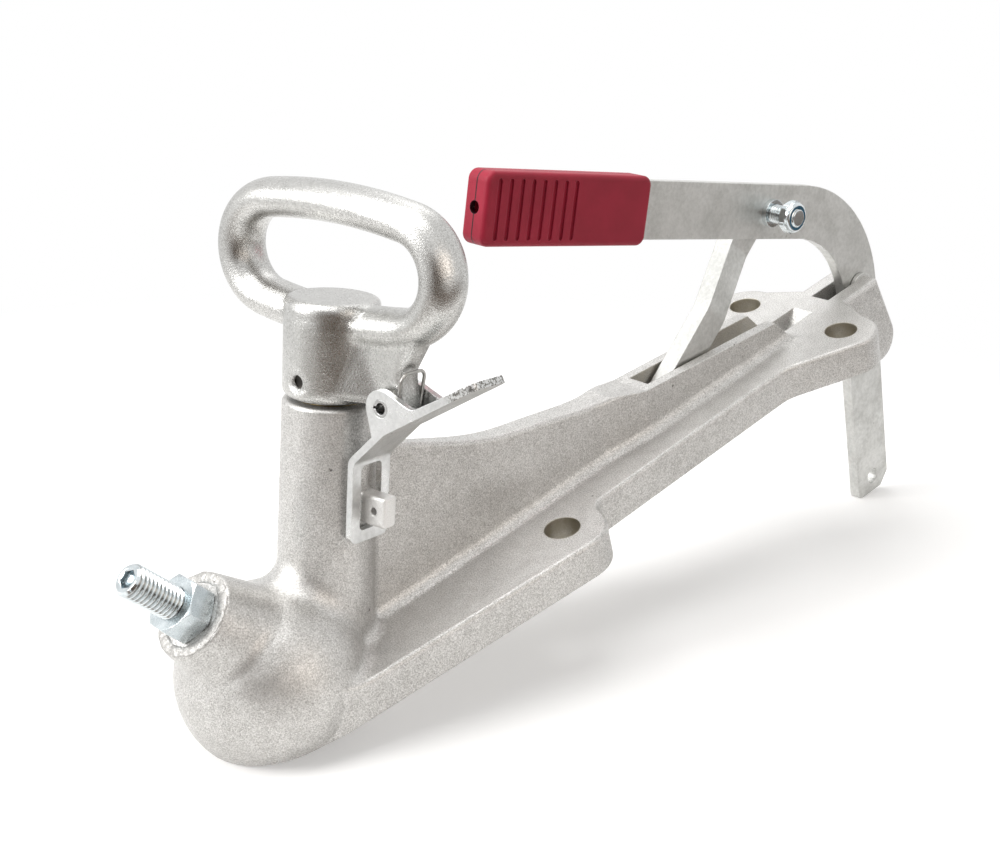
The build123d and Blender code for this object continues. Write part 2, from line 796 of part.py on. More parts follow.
# Latch: slotted plate, tab and two pierced wings, bent from one sheet
wing_foot = tab_point(wing_foot_out, -sheet_t / 2)
wing_valley = tab_point(wing_valley_out, sheet_t / 2 + wing_valley_rise)
wing_end = tab_point(wing_end_out, sheet_t / 2)
wing_end_foot = tab_point(wing_end_out, -sheet_t / 2)
latch_pin_spot = (latch_pin_out, latch_pin_up)
ear_left_touch = touch_point(wing_foot, latch_pin_spot, latch_ear_r, 1)
ear_right_touch = touch_point(wing_valley, latch_pin_spot, latch_ear_r, -1)

with BuildPart() as latch:
    with BuildSketch(side_plane):
        with BuildLine():
            FilletPolyline(
                (plate_mid, plate_bottom),
                (plate_mid, fold_up),
                (knee_out, knee_up),
                (tab_tip_out, tab_tip_up),
                radius=sheet_bend_r + sheet_t / 2,
            )
        trace(line_width=sheet_t)
    extrude(amount=latch_half, both=True)
    edge_spots = [
        (edge, side_plane.to_local_coords(edge.center())) for edge in latch.edges()
    ]
    side_edges = [pair for pair in edge_spots if abs(abs(pair[1].Z) - latch_half) < edge_reach]
    plate_corners = [edge for edge, spot in side_edges if abs(spot.Y - plate_bottom) < edge_reach]
    tab_corners = [edge for edge, spot in side_edges if abs(spot.X - tab_tip_out) < edge_reach]
    fillet(plate_corners, plate_corner_r)
    fillet(tab_corners, tab_corner_r)
    with BuildSketch(side_plane.offset(-latch_half), side_plane.offset(latch_half - sheet_t)):
        with BuildLine():
            ThreePointArc(ear_left_touch, (latch_pin_out, latch_pin_up + latch_ear_r), ear_right_touch)
            FilletPolyline(ear_right_touch, wing_valley, wing_end, radius=wing_valley_r)
            Polyline(wing_end, wing_end_foot, wing_foot, ear_left_touch)
        make_face()
    extrude(amount=sheet_t)
    with BuildSketch(face_plane):
        with Locations((0, (slot_bottom + slot_top) / 2)):
            RectangleRounded(2 * slot_half, slot_top - slot_bottom, slot_corner_r)
    extrude(amount=plate_out + 2 * sheet_t, mode=Mode.SUBTRACT)
    with BuildSketch(side_plane):
        with Locations(latch_pin_spot):
            Circle(latch_pin_d / 2 + turn_run)
    extrude(amount=2 * latch_half, both=True, mode=Mode.SUBTRACT)

# Slit spring pin of the latch
with BuildPart() as latch_pin:
    with BuildSketch(side_plane.offset(-latch_half)):
        with Locations(latch_pin_spot):
            Circle(latch_pin_d / 2)
            Circle(latch_pin_bore_d / 2, mode=Mode.SUBTRACT)
        with Locations((latch_pin_out - latch_pin_d / 2, latch_pin_up)):
            Rectangle(latch_pin_d, latch_pin_slit, mode=Mode.SUBTRACT)
    extrude(amount=2 * latch_half)

# Torsion spring of the latch: a coil each side of the ear and a loop around its end
torsion_centre = side_plane.from_local_coords((latch_pin_out, latch_pin_up, 0))
torsion_plane = Plane(origin=torsion_centre, x_dir=side_plane.x_dir, z_dir=side_plane.y_dir)
rise_dir = (
    side_plane.x_dir * (torsion_out - latch_pin_out - torsion_mean_r) + side_plane.y_dir * torsion_rise
)
rise_plane = Plane(
    origin=torsion_centre + side_plane.x_dir * torsion_mean_r,
    x_dir=handle_plane.x_dir,
    z_dir=handle_plane.x_dir.cross(rise_dir),
)
with BuildPart() as latch_spring:
    with BuildSketch(torsion_plane):
        with Locations((torsion_mean_r, -torsion_side), (torsion_mean_r, torsion_side)):
            Circle(torsion_wire_d / 2)
    revolve(axis=Axis(torsion_centre, handle_plane.x_dir))
    with BuildLine(rise_plane) as spring_loop:
        FilletPolyline(
            (-torsion_side, 0),
            (-torsion_side, rise_dir.length),
            (torsion_side, rise_dir.length),
            (torsion_side, 0),
            radius=torsion_corner_r,
        )
    with BuildSketch(Plane(origin=spring_loop.wire() @ 0, z_dir=spring_loop.wire() % 0)):
        Circle(torsion_wire_d / 2)
    sweep(path=spring_loop.wire())

# Brake lever
with BuildPart() as brake_lever:
    with BuildSketch(Plane.XZ) as lever_shape:
        with BuildLine():
            FilletPolyline(
                (tip_x, tip_z),
                (lever_corner_x, lever_corner_z),
                (lever_corner_x - arm_length * arm_cos, lever_corner_z + arm_length * arm_sin),
                radius=lever_bend_r,
            )
        trace(line_width=lever_w)
        chamfer(lever_shape.vertices().sort_by(Axis.Y)[:2].sort_by(Axis.X)[-1], tip_chamfer)
        fillet(lever_shape.vertices().sort_by(Axis.Y)[:3].sort_by(Axis.X)[0], tip_round_r)
        with Locations((tip_x + cable_hole_up * leg_sin, tip_z + cable_hole_up * leg_cos)):
            Circle(cable_hole_d / 2, mode=Mode.SUBTRACT)
        with Locations((pivot_x, pivot_z)):
            Circle(pivot_bolt_d / 2 + turn_run, mode=Mode.SUBTRACT)
        with Locations((stay_x, stay_z)):
            Circle(stay_bolt_d / 2 + press_gap, mode=Mode.SUBTRACT)
    extrude(amount=lever_t / 2, both=True)

# Grip: two halves that close over the lever's arm
with BuildPart() as grip_near:
    with BuildSketch(arm_plane.offset(-grip_t / 2)):
        with Locations((grip_end - grip_length / 2, 0)):
            RectangleRounded(grip_length, grip_height, grip_corner_r)
    extrude(amount=grip_t / 2)
    fillet(grip_near.faces().sort_by(Axis.Y)[0].edges(), grip_edge_r)
    with BuildSketch(arm_plane.offset(-grip_t / 2)):
        with Locations((grip_end - grip_groove_start, 0)):
            with Locations(*[(-step * grip_groove_pitch, 0) for step in range(grip_grooves)]):
                SlotOverall(grip_groove_height, grip_groove_w, rotation=90)
    extrude(amount=grip_groove_depth, mode=Mode.SUBTRACT)
    with BuildSketch(arm_plane.offset(-lever_t / 2 - grip_room)):
        with Locations((arm_length / 2, 0)):
            Rectangle(arm_length + 2 * grip_room, lever_w + 2 * grip_room)
        with Locations((arm_length + grip_end_room / 2, 0)):
            Rectangle(grip_end_room, grip_hole_d)
    extrude(amount=lever_t, mode=Mode.SUBTRACT)
    with BuildSketch(Plane(origin=arm_plane.from_local_coords((grip_end, 0, 0)), z_dir=arm_plane.x_dir)):
        Circle(grip_hole_d / 2)
    extrude(amount=-grip_end_t - grip_end_room, mode=Mode.SUBTRACT)

with BuildPart() as grip_far:
    mirror(grip_near.part, about=Plane.XZ)

# Pivot bolt of the lever, from the far side into the near cheek
with BuildPart() as pivot_bolt:
    with BuildSketch(pivot_plane.offset(slide_gap - lever_slot_half - cheek_blind)):
        Circle(pivot_bolt_d / 2)
    extrude(amount=lever_slot_half + cheek_blind - slide_gap + cheek_half)
    with BuildSketch(pivot_plane.offset(cheek_half)):
        RegularPolygon(hex_radius(pivot_head_flats), 6)
    extrude(amount=pivot_head_t)

# Spacers each side of the lever
with BuildPart() as pivot_spacer_near:
    with BuildSketch(Plane.XZ.offset(lever_slot_half - press_gap - spacer_t)):
        with BuildLine():
            Polyline(
                (pivot_x + spacer_half, pivot_z),
                (pivot_x + spacer_half, spacer_top_z),
            )
            ThreePointArc(
                (pivot_x + spacer_half, spacer_top_z),
                (pivot_x, spacer_top_z + spacer_half),
                (pivot_x - spacer_half, spacer_top_z),
            )
            Line((pivot_x - spacer_half, spacer_top_z), (pivot_x - spacer_half, pivot_z))
            ThreePointArc(
                (pivot_x - spacer_half, pivot_z),
                (pivot_x, pivot_z - spacer_half),
                (pivot_x + spacer_half, pivot_z),
            )
        make_face()
        with Locations((pivot_x, pivot_z)):
            Circle(pivot_bolt_d / 2 + press_gap, mode=Mode.SUBTRACT)
    extrude(amount=spacer_t)

with BuildPart() as pivot_spacer_far:
    mirror(pivot_spacer_near.part, about=Plane.XZ)

# Stay: a bar set over from beside the lever to the middle of the slot
with BuildPart() as stay_strap:
    with BuildSketch(stay_edge_plane):
        with BuildLine():
            FilletPolyline(
                (-stay_w / 2, stay_shift),
                (stay_bend_start, stay_shift),
                (stay_bend_end, 0),
                (stay_length, 0),
                radius=stay_bend_r,
            )
        trace(line_width=stay_t)
    extrude(amount=stay_w / 2, both=True)
    with BuildSketch(stay_plane):
        Circle(stay_w / 2)
        with Locations((stay_length / 2, 0)):
            Rectangle(stay_length, stay_w)
    extrude(amount=2 * stay_t, both=True, mode=Mode.INTERSECT)
    with BuildSketch(stay_plane):
        Circle(stay_bolt_d / 2 + turn_run)
    extrude(amount=2 * stay_t, mode=Mode.SUBTRACT)

# Bolt, bush and locknut of the stay
with BuildPart() as stay_bolt:
    with BuildSketch(stay_plane.offset(stay_nut_y - stay_bolt_proud)):
        Circle(stay_bolt_d / 2)
    extrude(amount=stay_head_y + slide_gap - stay_nut_y + stay_bolt_proud)
    chamfer(stay_bolt.edges().filter_by(GeomType.CIRCLE).sort_by(Axis.Y)[0], stay_bolt_bevel)
    with BuildSketch(stay_plane.offset(stay_head_y + slide_gap)):
        RegularPolygon(hex_radius(stay_head_flats), 6)
    extrude(amount=stay_head_t)

with BuildPart() as stay_bush:
    with BuildSketch(stay_plane.offset(-lever_t / 2 - stay_bush_t)):
        Circle(stay_bush_d / 2)
        Circle(stay_bolt_d / 2 + press_gap, mode=Mode.SUBTRACT)
    extrude(amount=stay_bush_t)

with BuildPart() as stay_locknut:
    with BuildSketch(stay_plane.offset(stay_nut_y + stay_nut_t)):
        RegularPolygon(hex_radius(stay_nut_flats), 6)
    extrude(amount=-stay_nut_hex_t)
    with BuildSketch(stay_plane.offset(stay_nut_y)):
        Circle(insert_r + nut_wall)
    extrude(amount=stay_nut_t)
    fillet(stay_locknut.edges().filter_by(GeomType.CIRCLE).sort_by(Axis.Y)[0], nut_wall / 2)
    with BuildSketch(stay_plane.offset(stay_nut_y)):
        Circle(stay_bolt_d / 2 + press_gap)
    extrude(amount=stay_nut_t, mode=Mode.SUBTRACT)
    with BuildSketch(stay_plane.offset(stay_nut_y)):
        Circle(insert_r)
    extrude(amount=insert_t + insert_sink, mode=Mode.SUBTRACT)

with BuildPart() as locknut_insert:
    with BuildSketch(stay_plane.offset(stay_nut_y + insert_sink)):
        Circle(insert_r - press_gap)
        Circle(stay_bolt_d / 2 + press_gap, mode=Mode.SUBTRACT)
    extrude(amount=insert_t)

os.makedirs("parts", exist_ok=True)
coupling_body.part.label = "coupling_body"
export_step(coupling_body.part, "parts/coupling_body.step")
release_handle.part.label = "release_handle"
export_step(release_handle.part, "parts/release_handle.step")
plunger.part.label = "plunger"
export_step(plunger.part, "parts/plunger.step")
handle_cross_pin.part.label = "handle_cross_pin"
export_step(handle_cross_pin.part, "parts/handle_cross_pin.step")
guide_bush.part.label = "guide_bush"
export_step(guide_bush.part, "parts/guide_bush.step")
plunger_spring.part.label = "plunger_spring"
export_step(plunger_spring.part, "parts/plunger_spring.step")
ball_clamp.part.label = "ball_clamp"
export_step(ball_clamp.part, "parts/ball_clamp.step")
adjuster_screw.part.label = "adjuster_screw"
export_step(adjuster_screw.part, "parts/adjuster_screw.step")
adjuster_locknut.part.label = "adjuster_locknut"
export_step(adjuster_locknut.part, "parts/adjuster_locknut.step")
ball_shoe.part.label = "ball_shoe"
export_step(ball_shoe.part, "parts/ball_shoe.step")
latch.part.label = "latch"
export_step(latch.part, "parts/latch.step")
latch_pin.part.label = "latch_pin"
export_step(latch_pin.part, "parts/latch_pin.step")
latch_spring.part.label = "latch_spring"
export_step(latch_spring.part, "parts/latch_spring.step")
brake_lever.part.label = "brake_lever"
export_step(brake_lever.part, "parts/brake_lever.step")
grip_near.part.label = "grip_near"
export_step(grip_near.part, "parts/grip_near.step")
grip_far.part.label = "grip_far"
export_step(grip_far.part, "parts/grip_far.step")
pivot_bolt.part.label = "pivot_bolt"
export_step(pivot_bolt.part, "parts/pivot_bolt.step")
pivot_spacer_near.part.label = "pivot_spacer_near"
export_step(pivot_spacer_near.part, "parts/pivot_spacer_near.step")
pivot_spacer_far.part.label = "pivot_spacer_far"
export_step(pivot_spacer_far.part, "parts/pivot_spacer_far.step")
stay_strap.part.label = "stay_strap"
export_step(stay_strap.part, "parts/stay_strap.step")
stay_bolt.part.label = "stay_bolt"
export_step(stay_bolt.part, "parts/stay_bolt.step")
stay_bush.part.label = "stay_bush"
export_step(stay_bush.part, "parts/stay_bush.step")
stay_locknut.part.label = "stay_locknut"
export_step(stay_locknut.part, "parts/stay_locknut.step")
locknut_insert.part.label = "locknut_insert"
export_step(locknut_insert.part, "parts/locknut_insert.step")
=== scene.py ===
"""Looks of a cast trailer coupling head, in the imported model's own frame.

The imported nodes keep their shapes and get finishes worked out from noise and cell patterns
in object space. The pieces whose detail the solids leave plain are made here as surfaces:
screw threads, bevelled nuts, a coil spring and the rough lip of the screw boss.
"""

from __future__ import annotations

import logging
import math
from abc import ABC, abstractmethod
from dataclasses import dataclass
from enum import Enum
from functools import cached_property
from typing import Any, Mapping, Optional, Union

import bpy
import numpy as np
from mathutils import Matrix, Vector

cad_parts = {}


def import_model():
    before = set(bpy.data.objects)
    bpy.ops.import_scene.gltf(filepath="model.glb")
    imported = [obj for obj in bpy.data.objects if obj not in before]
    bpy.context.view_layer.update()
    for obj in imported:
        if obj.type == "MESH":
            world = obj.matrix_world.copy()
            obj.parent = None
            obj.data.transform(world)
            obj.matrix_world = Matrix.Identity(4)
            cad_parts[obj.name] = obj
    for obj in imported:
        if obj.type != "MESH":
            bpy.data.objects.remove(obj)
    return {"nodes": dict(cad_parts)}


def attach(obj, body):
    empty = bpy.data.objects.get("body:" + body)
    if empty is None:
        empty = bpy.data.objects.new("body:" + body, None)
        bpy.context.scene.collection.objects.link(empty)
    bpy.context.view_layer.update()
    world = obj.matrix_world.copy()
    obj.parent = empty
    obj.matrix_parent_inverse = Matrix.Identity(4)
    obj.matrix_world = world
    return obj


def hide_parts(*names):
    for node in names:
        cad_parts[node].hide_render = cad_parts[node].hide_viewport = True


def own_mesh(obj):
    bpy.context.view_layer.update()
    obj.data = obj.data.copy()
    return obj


LOG = logging.getLogger("coupling_head")
MM = 0.001
FULL_TURN = 2.0 * math.pi
# A spot is full within this share of its radius, and cells are picked over this fade
SPOT_CORE = 0.35
SPOT_FADE = 0.02
# Cosines between the rounded and the true normal where the mask of the edges starts and is full
EDGE_START = 0.995
EDGE_FULL = 0.86
BEVEL_SAMPLES = 4
# Steps of a coil's path to a turn, points around its wire, and climb of its end turns
COIL_STEPS = 40
WIRE_POINTS = 14
END_PACE = 0.25
# Rays that see the studio as white
SEEN_RAYS = ("Is Camera Ray", "Is Glossy Ray", "Is Transmission Ray")
Triple = tuple[float, float, float]
Colour = tuple[float, float, float, float]
# Values of a noise at which a mask of it is 0 and 1
Ramp = tuple[float, float]
WHITE: Colour = (1.0, 1.0, 1.0, 1.0)


def metres(point: Triple) -> Triple:
    """Carry a point from millimetres to metres."""
    return point[0] * MM, point[1] * MM, point[2] * MM


class Body(Enum):
    """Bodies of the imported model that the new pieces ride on."""

    CASTING = "casting"
    LEVER = "lever"


class Sock:
    """One output of a shader node, with arithmetic that adds Math nodes."""

    def __init__(self, graph: Graph, socket: bpy.types.NodeSocket) -> None:
        """Keep the node graph and the wrapped socket."""
        self.graph = graph
        self.socket = socket

    def _math(self, operation: str, first: Value, second: Value) -> Sock:
        """Add one Math node of the named operation on two operands."""
        return self.graph.node("Math", {0: first, 1: second}, {"operation": operation})

    def __add__(self, other: Value) -> Sock:
        """Sum of two values."""
        return self._math("ADD", self, other)

    def __radd__(self, other: Value) -> Sock:
        """Sum with a number on the left."""
        return self._math("ADD", other, self)

    def __sub__(self, other: Value) -> Sock:
        """Difference of two values."""
        return self._math("SUBTRACT", self, other)

    def __rsub__(self, other: Value) -> Sock:
        """Difference with a number on the left."""
        return self._math("SUBTRACT", other, self)

    def __mul__(self, other: Value) -> Sock:
        """Product of two values."""
        return self._math("MULTIPLY", self, other)

    def __rmul__(self, other: Value) -> Sock:
        """Product with a number on the left."""
        return self._math("MULTIPLY", other, self)

    def highest(self, other: Value) -> Sock:
        """Larger of two values."""
        return self._math("MAXIMUM", self, other)

    def size(self) -> Sock:
        """Value without its sign."""
        return self._math("ABSOLUTE", self, 0.0)

    def root(self) -> Sock:
        """Square root."""
        return self._math("SQRT", self, 0.0)

    def blend(self, other: Sock, share: float) -> Sock:
        """Weighted mean, with this value's share and the rest of the other."""
        return share * self + (1.0 - share) * other

    def between(self, low: float, high: float) -> Sock:
        """Smooth step from 0 at low to 1 at high, either way round."""
        sockets = {"Value": self, "From Min": low, "From Max": high}
        return self.graph.node("MapRange", sockets, {"interpolation_type": "SMOOTHSTEP"})


Value = Union[Sock, int, float]


class Graph:
    """A node tree that is filled by expressions."""

    def __init__(self, tree: bpy.types.NodeTree) -> None:
        """Empty the tree and keep it."""
        self.tree = tree
        tree.nodes.clear()

    def node(
        self,
        kind: str,
        sockets: Optional[Mapping[Union[int, str], Any]] = None,
        settings: Optional[Mapping[str, Any]] = None,
        out: Union[int, str] = 0,
    ) -> Sock:
        """Add one node.

        Args:
            kind: Blender's type name of the node, without its ShaderNode.
            sockets: Values or links for its inputs, by index or name.
            settings: Properties of the node, set before its sockets.
            out: Output to return, by index or name.

        Returns:
            The chosen output.
        """
        made = self.tree.nodes.new(f"ShaderNode{kind}")
        for key, value in (settings or {}).items():
            setattr(made, key, value)
        for key, value in (sockets or {}).items():
            if isinstance(value, Sock):
                self.tree.links.new(value.socket, made.inputs[key])
            else:
                made.inputs[key].default_value = value
        return Sock(self, made.outputs[out] if made.outputs else made.inputs[0])

    def vector(self, operation: str, *operands: Any, out: Union[int, str] = 0) -> Sock:
        """Add one Vector Math node on the operands and return one of its outputs."""
        return self.node("VectorMath", dict(enumerate(operands)), {"operation": operation}, out)

    @cached_property
    def where(self) -> Sock:
        """Object coordinates, in metres."""
        return self.place()

    def place(self, stretch: Triple = (1.0, 1.0, 1.0), turn: Triple = (0.0, 0.0, 0.0)) -> Sock:
        """Object coordinates, turned and then stretched.

        Args:
            stretch: Factor on each axis; a small factor draws a pattern out along it.
            turn: Turn about each axis in degrees.

        Returns:
            The coordinates.
        """
        point = self.node("TexCoord", out="Object")
        angles = tuple(math.radians(angle) for angle in turn)
        turned = self.node("Mapping", {"Vector": point, "Rotation": angles})
        return self.node("Mapping", {"Vector": turned, "Scale": stretch})

    def noise(
        self,
        size: float,
        detail: float = 3.0,
        rough: float = 0.55,
        where: Optional[Sock] = None,
        out: Union[int, str] = 0,
    ) -> Sock:
        """Fractal noise around 0.5, whose largest patches have a size in millimetres."""
        sockets = {"Scale": 1.0 / (size * MM), "Detail": detail, "Roughness": rough}
        return self.node("TexNoise", {"Vector": where or self.where, **sockets}, out=out)

    def spots(self, where: Sock, spacing: float, radius: float, share: float) -> Sock:
        """Round spots scattered one to a cell, in some of the cells.

        Args:
            where: Coordinates.
            spacing: Cell size in millimetres.
            radius: Largest spot radius in millimetres.
            share: Share of the cells that hold a spot.

        Returns:
            A mask, 1 in the middle of a spot.
        """
        cell = {"Vector": where, "Scale": 1.0 / (spacing * MM)}
        distance = self.node("TexVoronoi", cell, out="Distance")
        tint = self.node("TexVoronoi", cell, out="Color")
        picked = self.node("SeparateColor", {"Color": tint}, out="Red")
        reach = radius / spacing
        inside = distance.between(reach, SPOT_CORE * reach)
        return inside * picked.between(1.0 - share, 1.0 + SPOT_FADE - share)

    def shaken(self, size: float, reach: float) -> Sock:
        """Coordinates moved to and fro by noise, so that a pattern on them is ragged.

        Args:
            size: Size of the noise in millimetres.
            reach: Largest move in millimetres.

        Returns:
            The moved coordinates.
        """
        shake = self.noise(size, 1.0, 0.5, out="Color")
        span, low = (2.0 * reach * MM,) * 3, (-reach * MM,) * 3
        return self.vector("ADD", self.where, self.vector("MULTIPLY_ADD", shake, span, low))

    def axis(self, name: str) -> Sock:
        """One coordinate, named X, Y or Z, in metres."""
        return self.node("SeparateXYZ", {0: self.where}, out=name)

    def along(self, origin: Triple, way: Triple) -> Sock:
        """Signed distance in metres along a unit direction, from an origin in millimetres."""
        off = self.vector("SUBTRACT", self.where, metres(origin))
        return self.vector("DOT_PRODUCT", off, way, out="Value")

    def around(self, origin: Triple, way: Triple) -> Sock:
        """Distance in metres from a line: the length of the offset's cross product with its way."""
        off = self.vector("SUBTRACT", self.where, metres(origin))
        return self.vector("LENGTH", self.vector("CROSS_PRODUCT", off, way), out="Value")

    def mix(self, factor: Value, first: Union[Sock, Colour], second: Union[Sock, Colour]) -> Sock:
        """Blend of two colours, the first where the factor is 0 and the second where it is 1."""
        sockets = {0: factor, 6: first, 7: second}
        return self.node("Mix", sockets, {"data_type": "RGBA"}, 2)

    def soft_normal(self, radius: float) -> Sock:
        """Normal rounded over the edges, with a radius in millimetres."""
        return self.node("Bevel", {"Radius": radius * MM}, {"samples": BEVEL_SAMPLES})

    def edges(self, soft: Sock) -> Sock:
        """Mask of the edges: 1 where the rounded normal leaves the true one."""
        true = self.node("NewGeometry", out="Normal")
        return self.vector("DOT_PRODUCT", soft, true, out="Value").between(EDGE_START, EDGE_FULL)

    def bump(self, height: Sock, depth: float, normal: Sock) -> Sock:
        """Normal bumped by a height pattern, with the depth in millimetres of a height of 1."""
        sockets = {"Height": height, "Distance": depth * MM, "Strength": 1.0, "Normal": normal}
        return self.node("Bump", sockets)

    def surface(self, sockets: Mapping[Union[int, str], Any]) -> None:
        """Finish the tree with a Principled shader of these inputs."""
        shader = self.node("BsdfPrincipled", sockets)
        self.node("OutputMaterial", {"Surface": shader})


@dataclass(frozen=True)
class Finish(ABC):
    """A surface finish that makes one material."""

    name: str

    @abstractmethod
    def paint(self, graph: Graph) -> None:
        """Fill the material's empty node graph."""

    def marked(self, graph: Graph, colour: Sock, patch: Sock) -> Sock:
        """Colour after the marks that a finish has at certain places; a plain one has none."""
        return colour

    def material(self) -> bpy.types.Material:
        """Make the material, or find the one already made.

        Returns:
            The material.
        """
        made = bpy.data.materials.get(self.name)
        if made is None:
            made = bpy.data.materials.new(self.name)
            made.use_nodes = True
            self.paint(Graph(made.node_tree))
        return made


@dataclass(frozen=True)
class CastZinc(Finish):
    """Zinc over a sand-cast skin: sparkling grain, cloudy tone, ragged pores and rubbed edges."""

    pale: Colour = (0.83, 0.82, 0.80, 1.0)
    dull: Colour = (0.31, 0.30, 0.285, 1.0)
    pit: Colour = (0.06, 0.052, 0.044, 1.0)
    rubbed: Colour = (0.90, 0.89, 0.87, 1.0)
    metal: float = 0.80
    rough: float = 0.34
    rough_spread: float = 0.16
    grain: float = 0.58
    grain_depth: float = 0.13
    speck_share: float = 0.6
    mottle: float = 5.0
    cloud: float = 38.0
    swell: float = 9.0
    swell_depth: float = 0.30
    contrast: float = 0.80
    grain_ramp: Ramp = (0.34, 0.66)
    speck_ramp: Ramp = (0.36, 0.64)
    mottle_ramp: Ramp = (0.30, 0.70)
    cloud_ramp: Ramp = (0.32, 0.68)
    grain_share: float = 0.5
    mottle_share: float = 0.55
    grain_relief: float = 0.9
    speck_relief: float = 0.5
    pore_spacing: float = 13.0
    pore_radius: float = 0.85
    pore_share: float = 0.30
    pore_relief: float = 1.6
    pore_rough: float = 0.3
    pore_shade: float = 0.9
    ragged_size: float = 1.1
    ragged_reach: float = 0.7
    edge_radius: float = 0.9
    edge_rub: float = 0.7
    edge_ramp: Ramp = (0.30, 0.60)

    def paint(self, graph: Graph) -> None:
        """Fill the nodes of a cast skin.

        Args:
            graph: The empty node graph.
        """
        grain = graph.noise(self.grain, 2.0, 0.6)
        speck = graph.noise(self.speck_share * self.grain, 1.0)
        mottle = graph.noise(self.mottle, 3.0, 0.6)
        cloud = graph.noise(self.cloud, 3.0, 0.6)
        swell = graph.noise(self.swell, 2.0) * (self.swell_depth / self.grain_depth)
        ragged = graph.shaken(self.ragged_size, self.ragged_reach)
        pores = graph.spots(ragged, self.pore_spacing, self.pore_radius, self.pore_share)
        soft = graph.soft_normal(self.edge_radius)
        fine = grain.between(*self.grain_ramp).blend(speck.between(*self.speck_ramp), self.grain_share)
        broad = mottle.between(*self.mottle_ramp).blend(cloud.between(*self.cloud_ramp), self.mottle_share)
        tone = fine.blend(broad, self.contrast)
        rub = graph.edges(soft) * grain.between(*self.edge_ramp) * self.edge_rub
        worn = graph.mix(rub, graph.mix(tone, self.dull, self.pale), self.rubbed)
        height = (grain * self.grain_relief + speck * self.speck_relief) + (swell - pores * self.pore_relief)
        rough = self.rough + self.rough_spread * (1 - fine)
        marked = self.marked(graph, worn, mottle)
        graph.surface(
            {
                "Base Color": graph.mix(pores * self.pore_shade, marked, self.pit),
                "Metallic": self.metal,
                "Roughness": rough + pores * self.pore_rough,
                "Normal": graph.bump(height, self.grain_depth, soft),
            }
        )


@dataclass(frozen=True)
class BodyZinc(CastZinc):
    """Cast skin of the body, with painted shade on the walls of its bolt holes and slot, a painted highlight
    on the latch lug and painted shade in the lug's dimple.
    """

    # Painted shade on the walls of the bolt holes and the slot
    bore: Colour = (0.42, 0.385, 0.31, 1.0)
    hole_middle: float = 207.0
    hole_half_pitch: float = 87.0
    hole_half_span: float = 27.0
    hole_radius: float = 7.0
    slot_front: float = 196.0
    slot_rear: float = 286.0
    slot_half: float = 5.2
    slot_shade: float = 0.55
    shade_least: float = 0.65
    shade_ramp: Ramp = (0.35, 0.65)
    wall_skin: float = 0.25
    wall_fade: float = 0.1
    end_fade: float = 0.5
    lug_foot: Triple = (23.8, 0.0, 0.0)
    lug_out: Triple = (0.17986, -0.98163, -0.06369)
    lug_up: Triple = (0.33381, 0.0, 0.94264)
    lug_across: Triple = (0.92532, 0.19081, -0.32767)
    lug_start: float = 17.0
    lug_rise: float = 4.0
    lug_middle: float = 55.8
    lug_half: float = 6.5
    lug_half_width: float = 3.6
    # Share of the painted highlight on the lug's end, and below it the painted shade in its dimple
    lug_highlight: float = 0.75
    dimple_out: float = 24.2
    dimple_radius: float = 1.5
    dimple_core: float = 0.75
    dimple_start: float = -1.0
    dimple_shade: float = 0.75

    def marked(self, graph: Graph, colour: Sock, patch: Sock) -> Sock:
        """Paint shade on the walls of the holes and the slot, a highlight on the lug's end and shade in its
        dimple.

        The four holes fold onto one by the sizes of the distances from the pattern's middle, and
        a point within the hole's radius of its axis lies on its wall.

        Args:
            graph: The node graph.
            colour: Colour of the skin.
            patch: Patchy noise.

        Returns:
            The marked colour.
        """
        x, y = graph.axis("X"), graph.axis("Y")
        off_x = (x - self.hole_middle * MM).size() - self.hole_half_pitch * MM
        off_y = y.size() - self.hole_half_span * MM
        fade, end = self.wall_fade * MM, self.end_fade * MM
        limit = (self.hole_radius + self.wall_skin) * MM
        hole = (off_x * off_x + off_y * off_y).root().between(limit, limit - fade)
        half = (self.slot_half + self.wall_skin) * MM
        front = x.between(self.slot_front * MM, self.slot_front * MM + end)
        rear = x.between(self.slot_rear * MM, self.slot_rear * MM - end)
        slot = y.size().between(half, half - fade) * front * rear
        # painted shade: the walls of the holes and the slot turn darker and tan, patchily
        patchy = self.shade_least + (1.0 - self.shade_least) * patch.between(*self.shade_ramp)
        shaded_walls = hole.highest(slot * self.slot_shade) * patchy
        out = graph.along(self.lug_foot, self.lug_out)
        up = (graph.along(self.lug_foot, self.lug_up) - self.lug_middle * MM).size()
        across = graph.along(self.lug_foot, self.lug_across)
        above = up.between(self.lug_half * MM + end, self.lug_half * MM)
        beside = across.size().between(self.lug_half_width * MM + end, self.lug_half_width * MM)
        lug = out.between(self.lug_start * MM, (self.lug_start + self.lug_rise) * MM) * above * beside
        # painted shade in the lug's dimple
        off = out - self.dimple_out * MM
        reach = self.dimple_radius * MM
        ring = (off * off + up * up).root().between(reach, self.dimple_core * reach)
        dimple = ring * across.between(self.dimple_start * MM, self.dimple_start * MM - end)
        # painted highlight: the lug's end is made paler than the web in the rubbed colour
        rubbed = graph.mix(lug * self.lug_highlight, graph.mix(shaded_walls, colour, self.bore), self.rubbed)
        return graph.mix(dimple * self.dimple_shade, rubbed, self.pit)


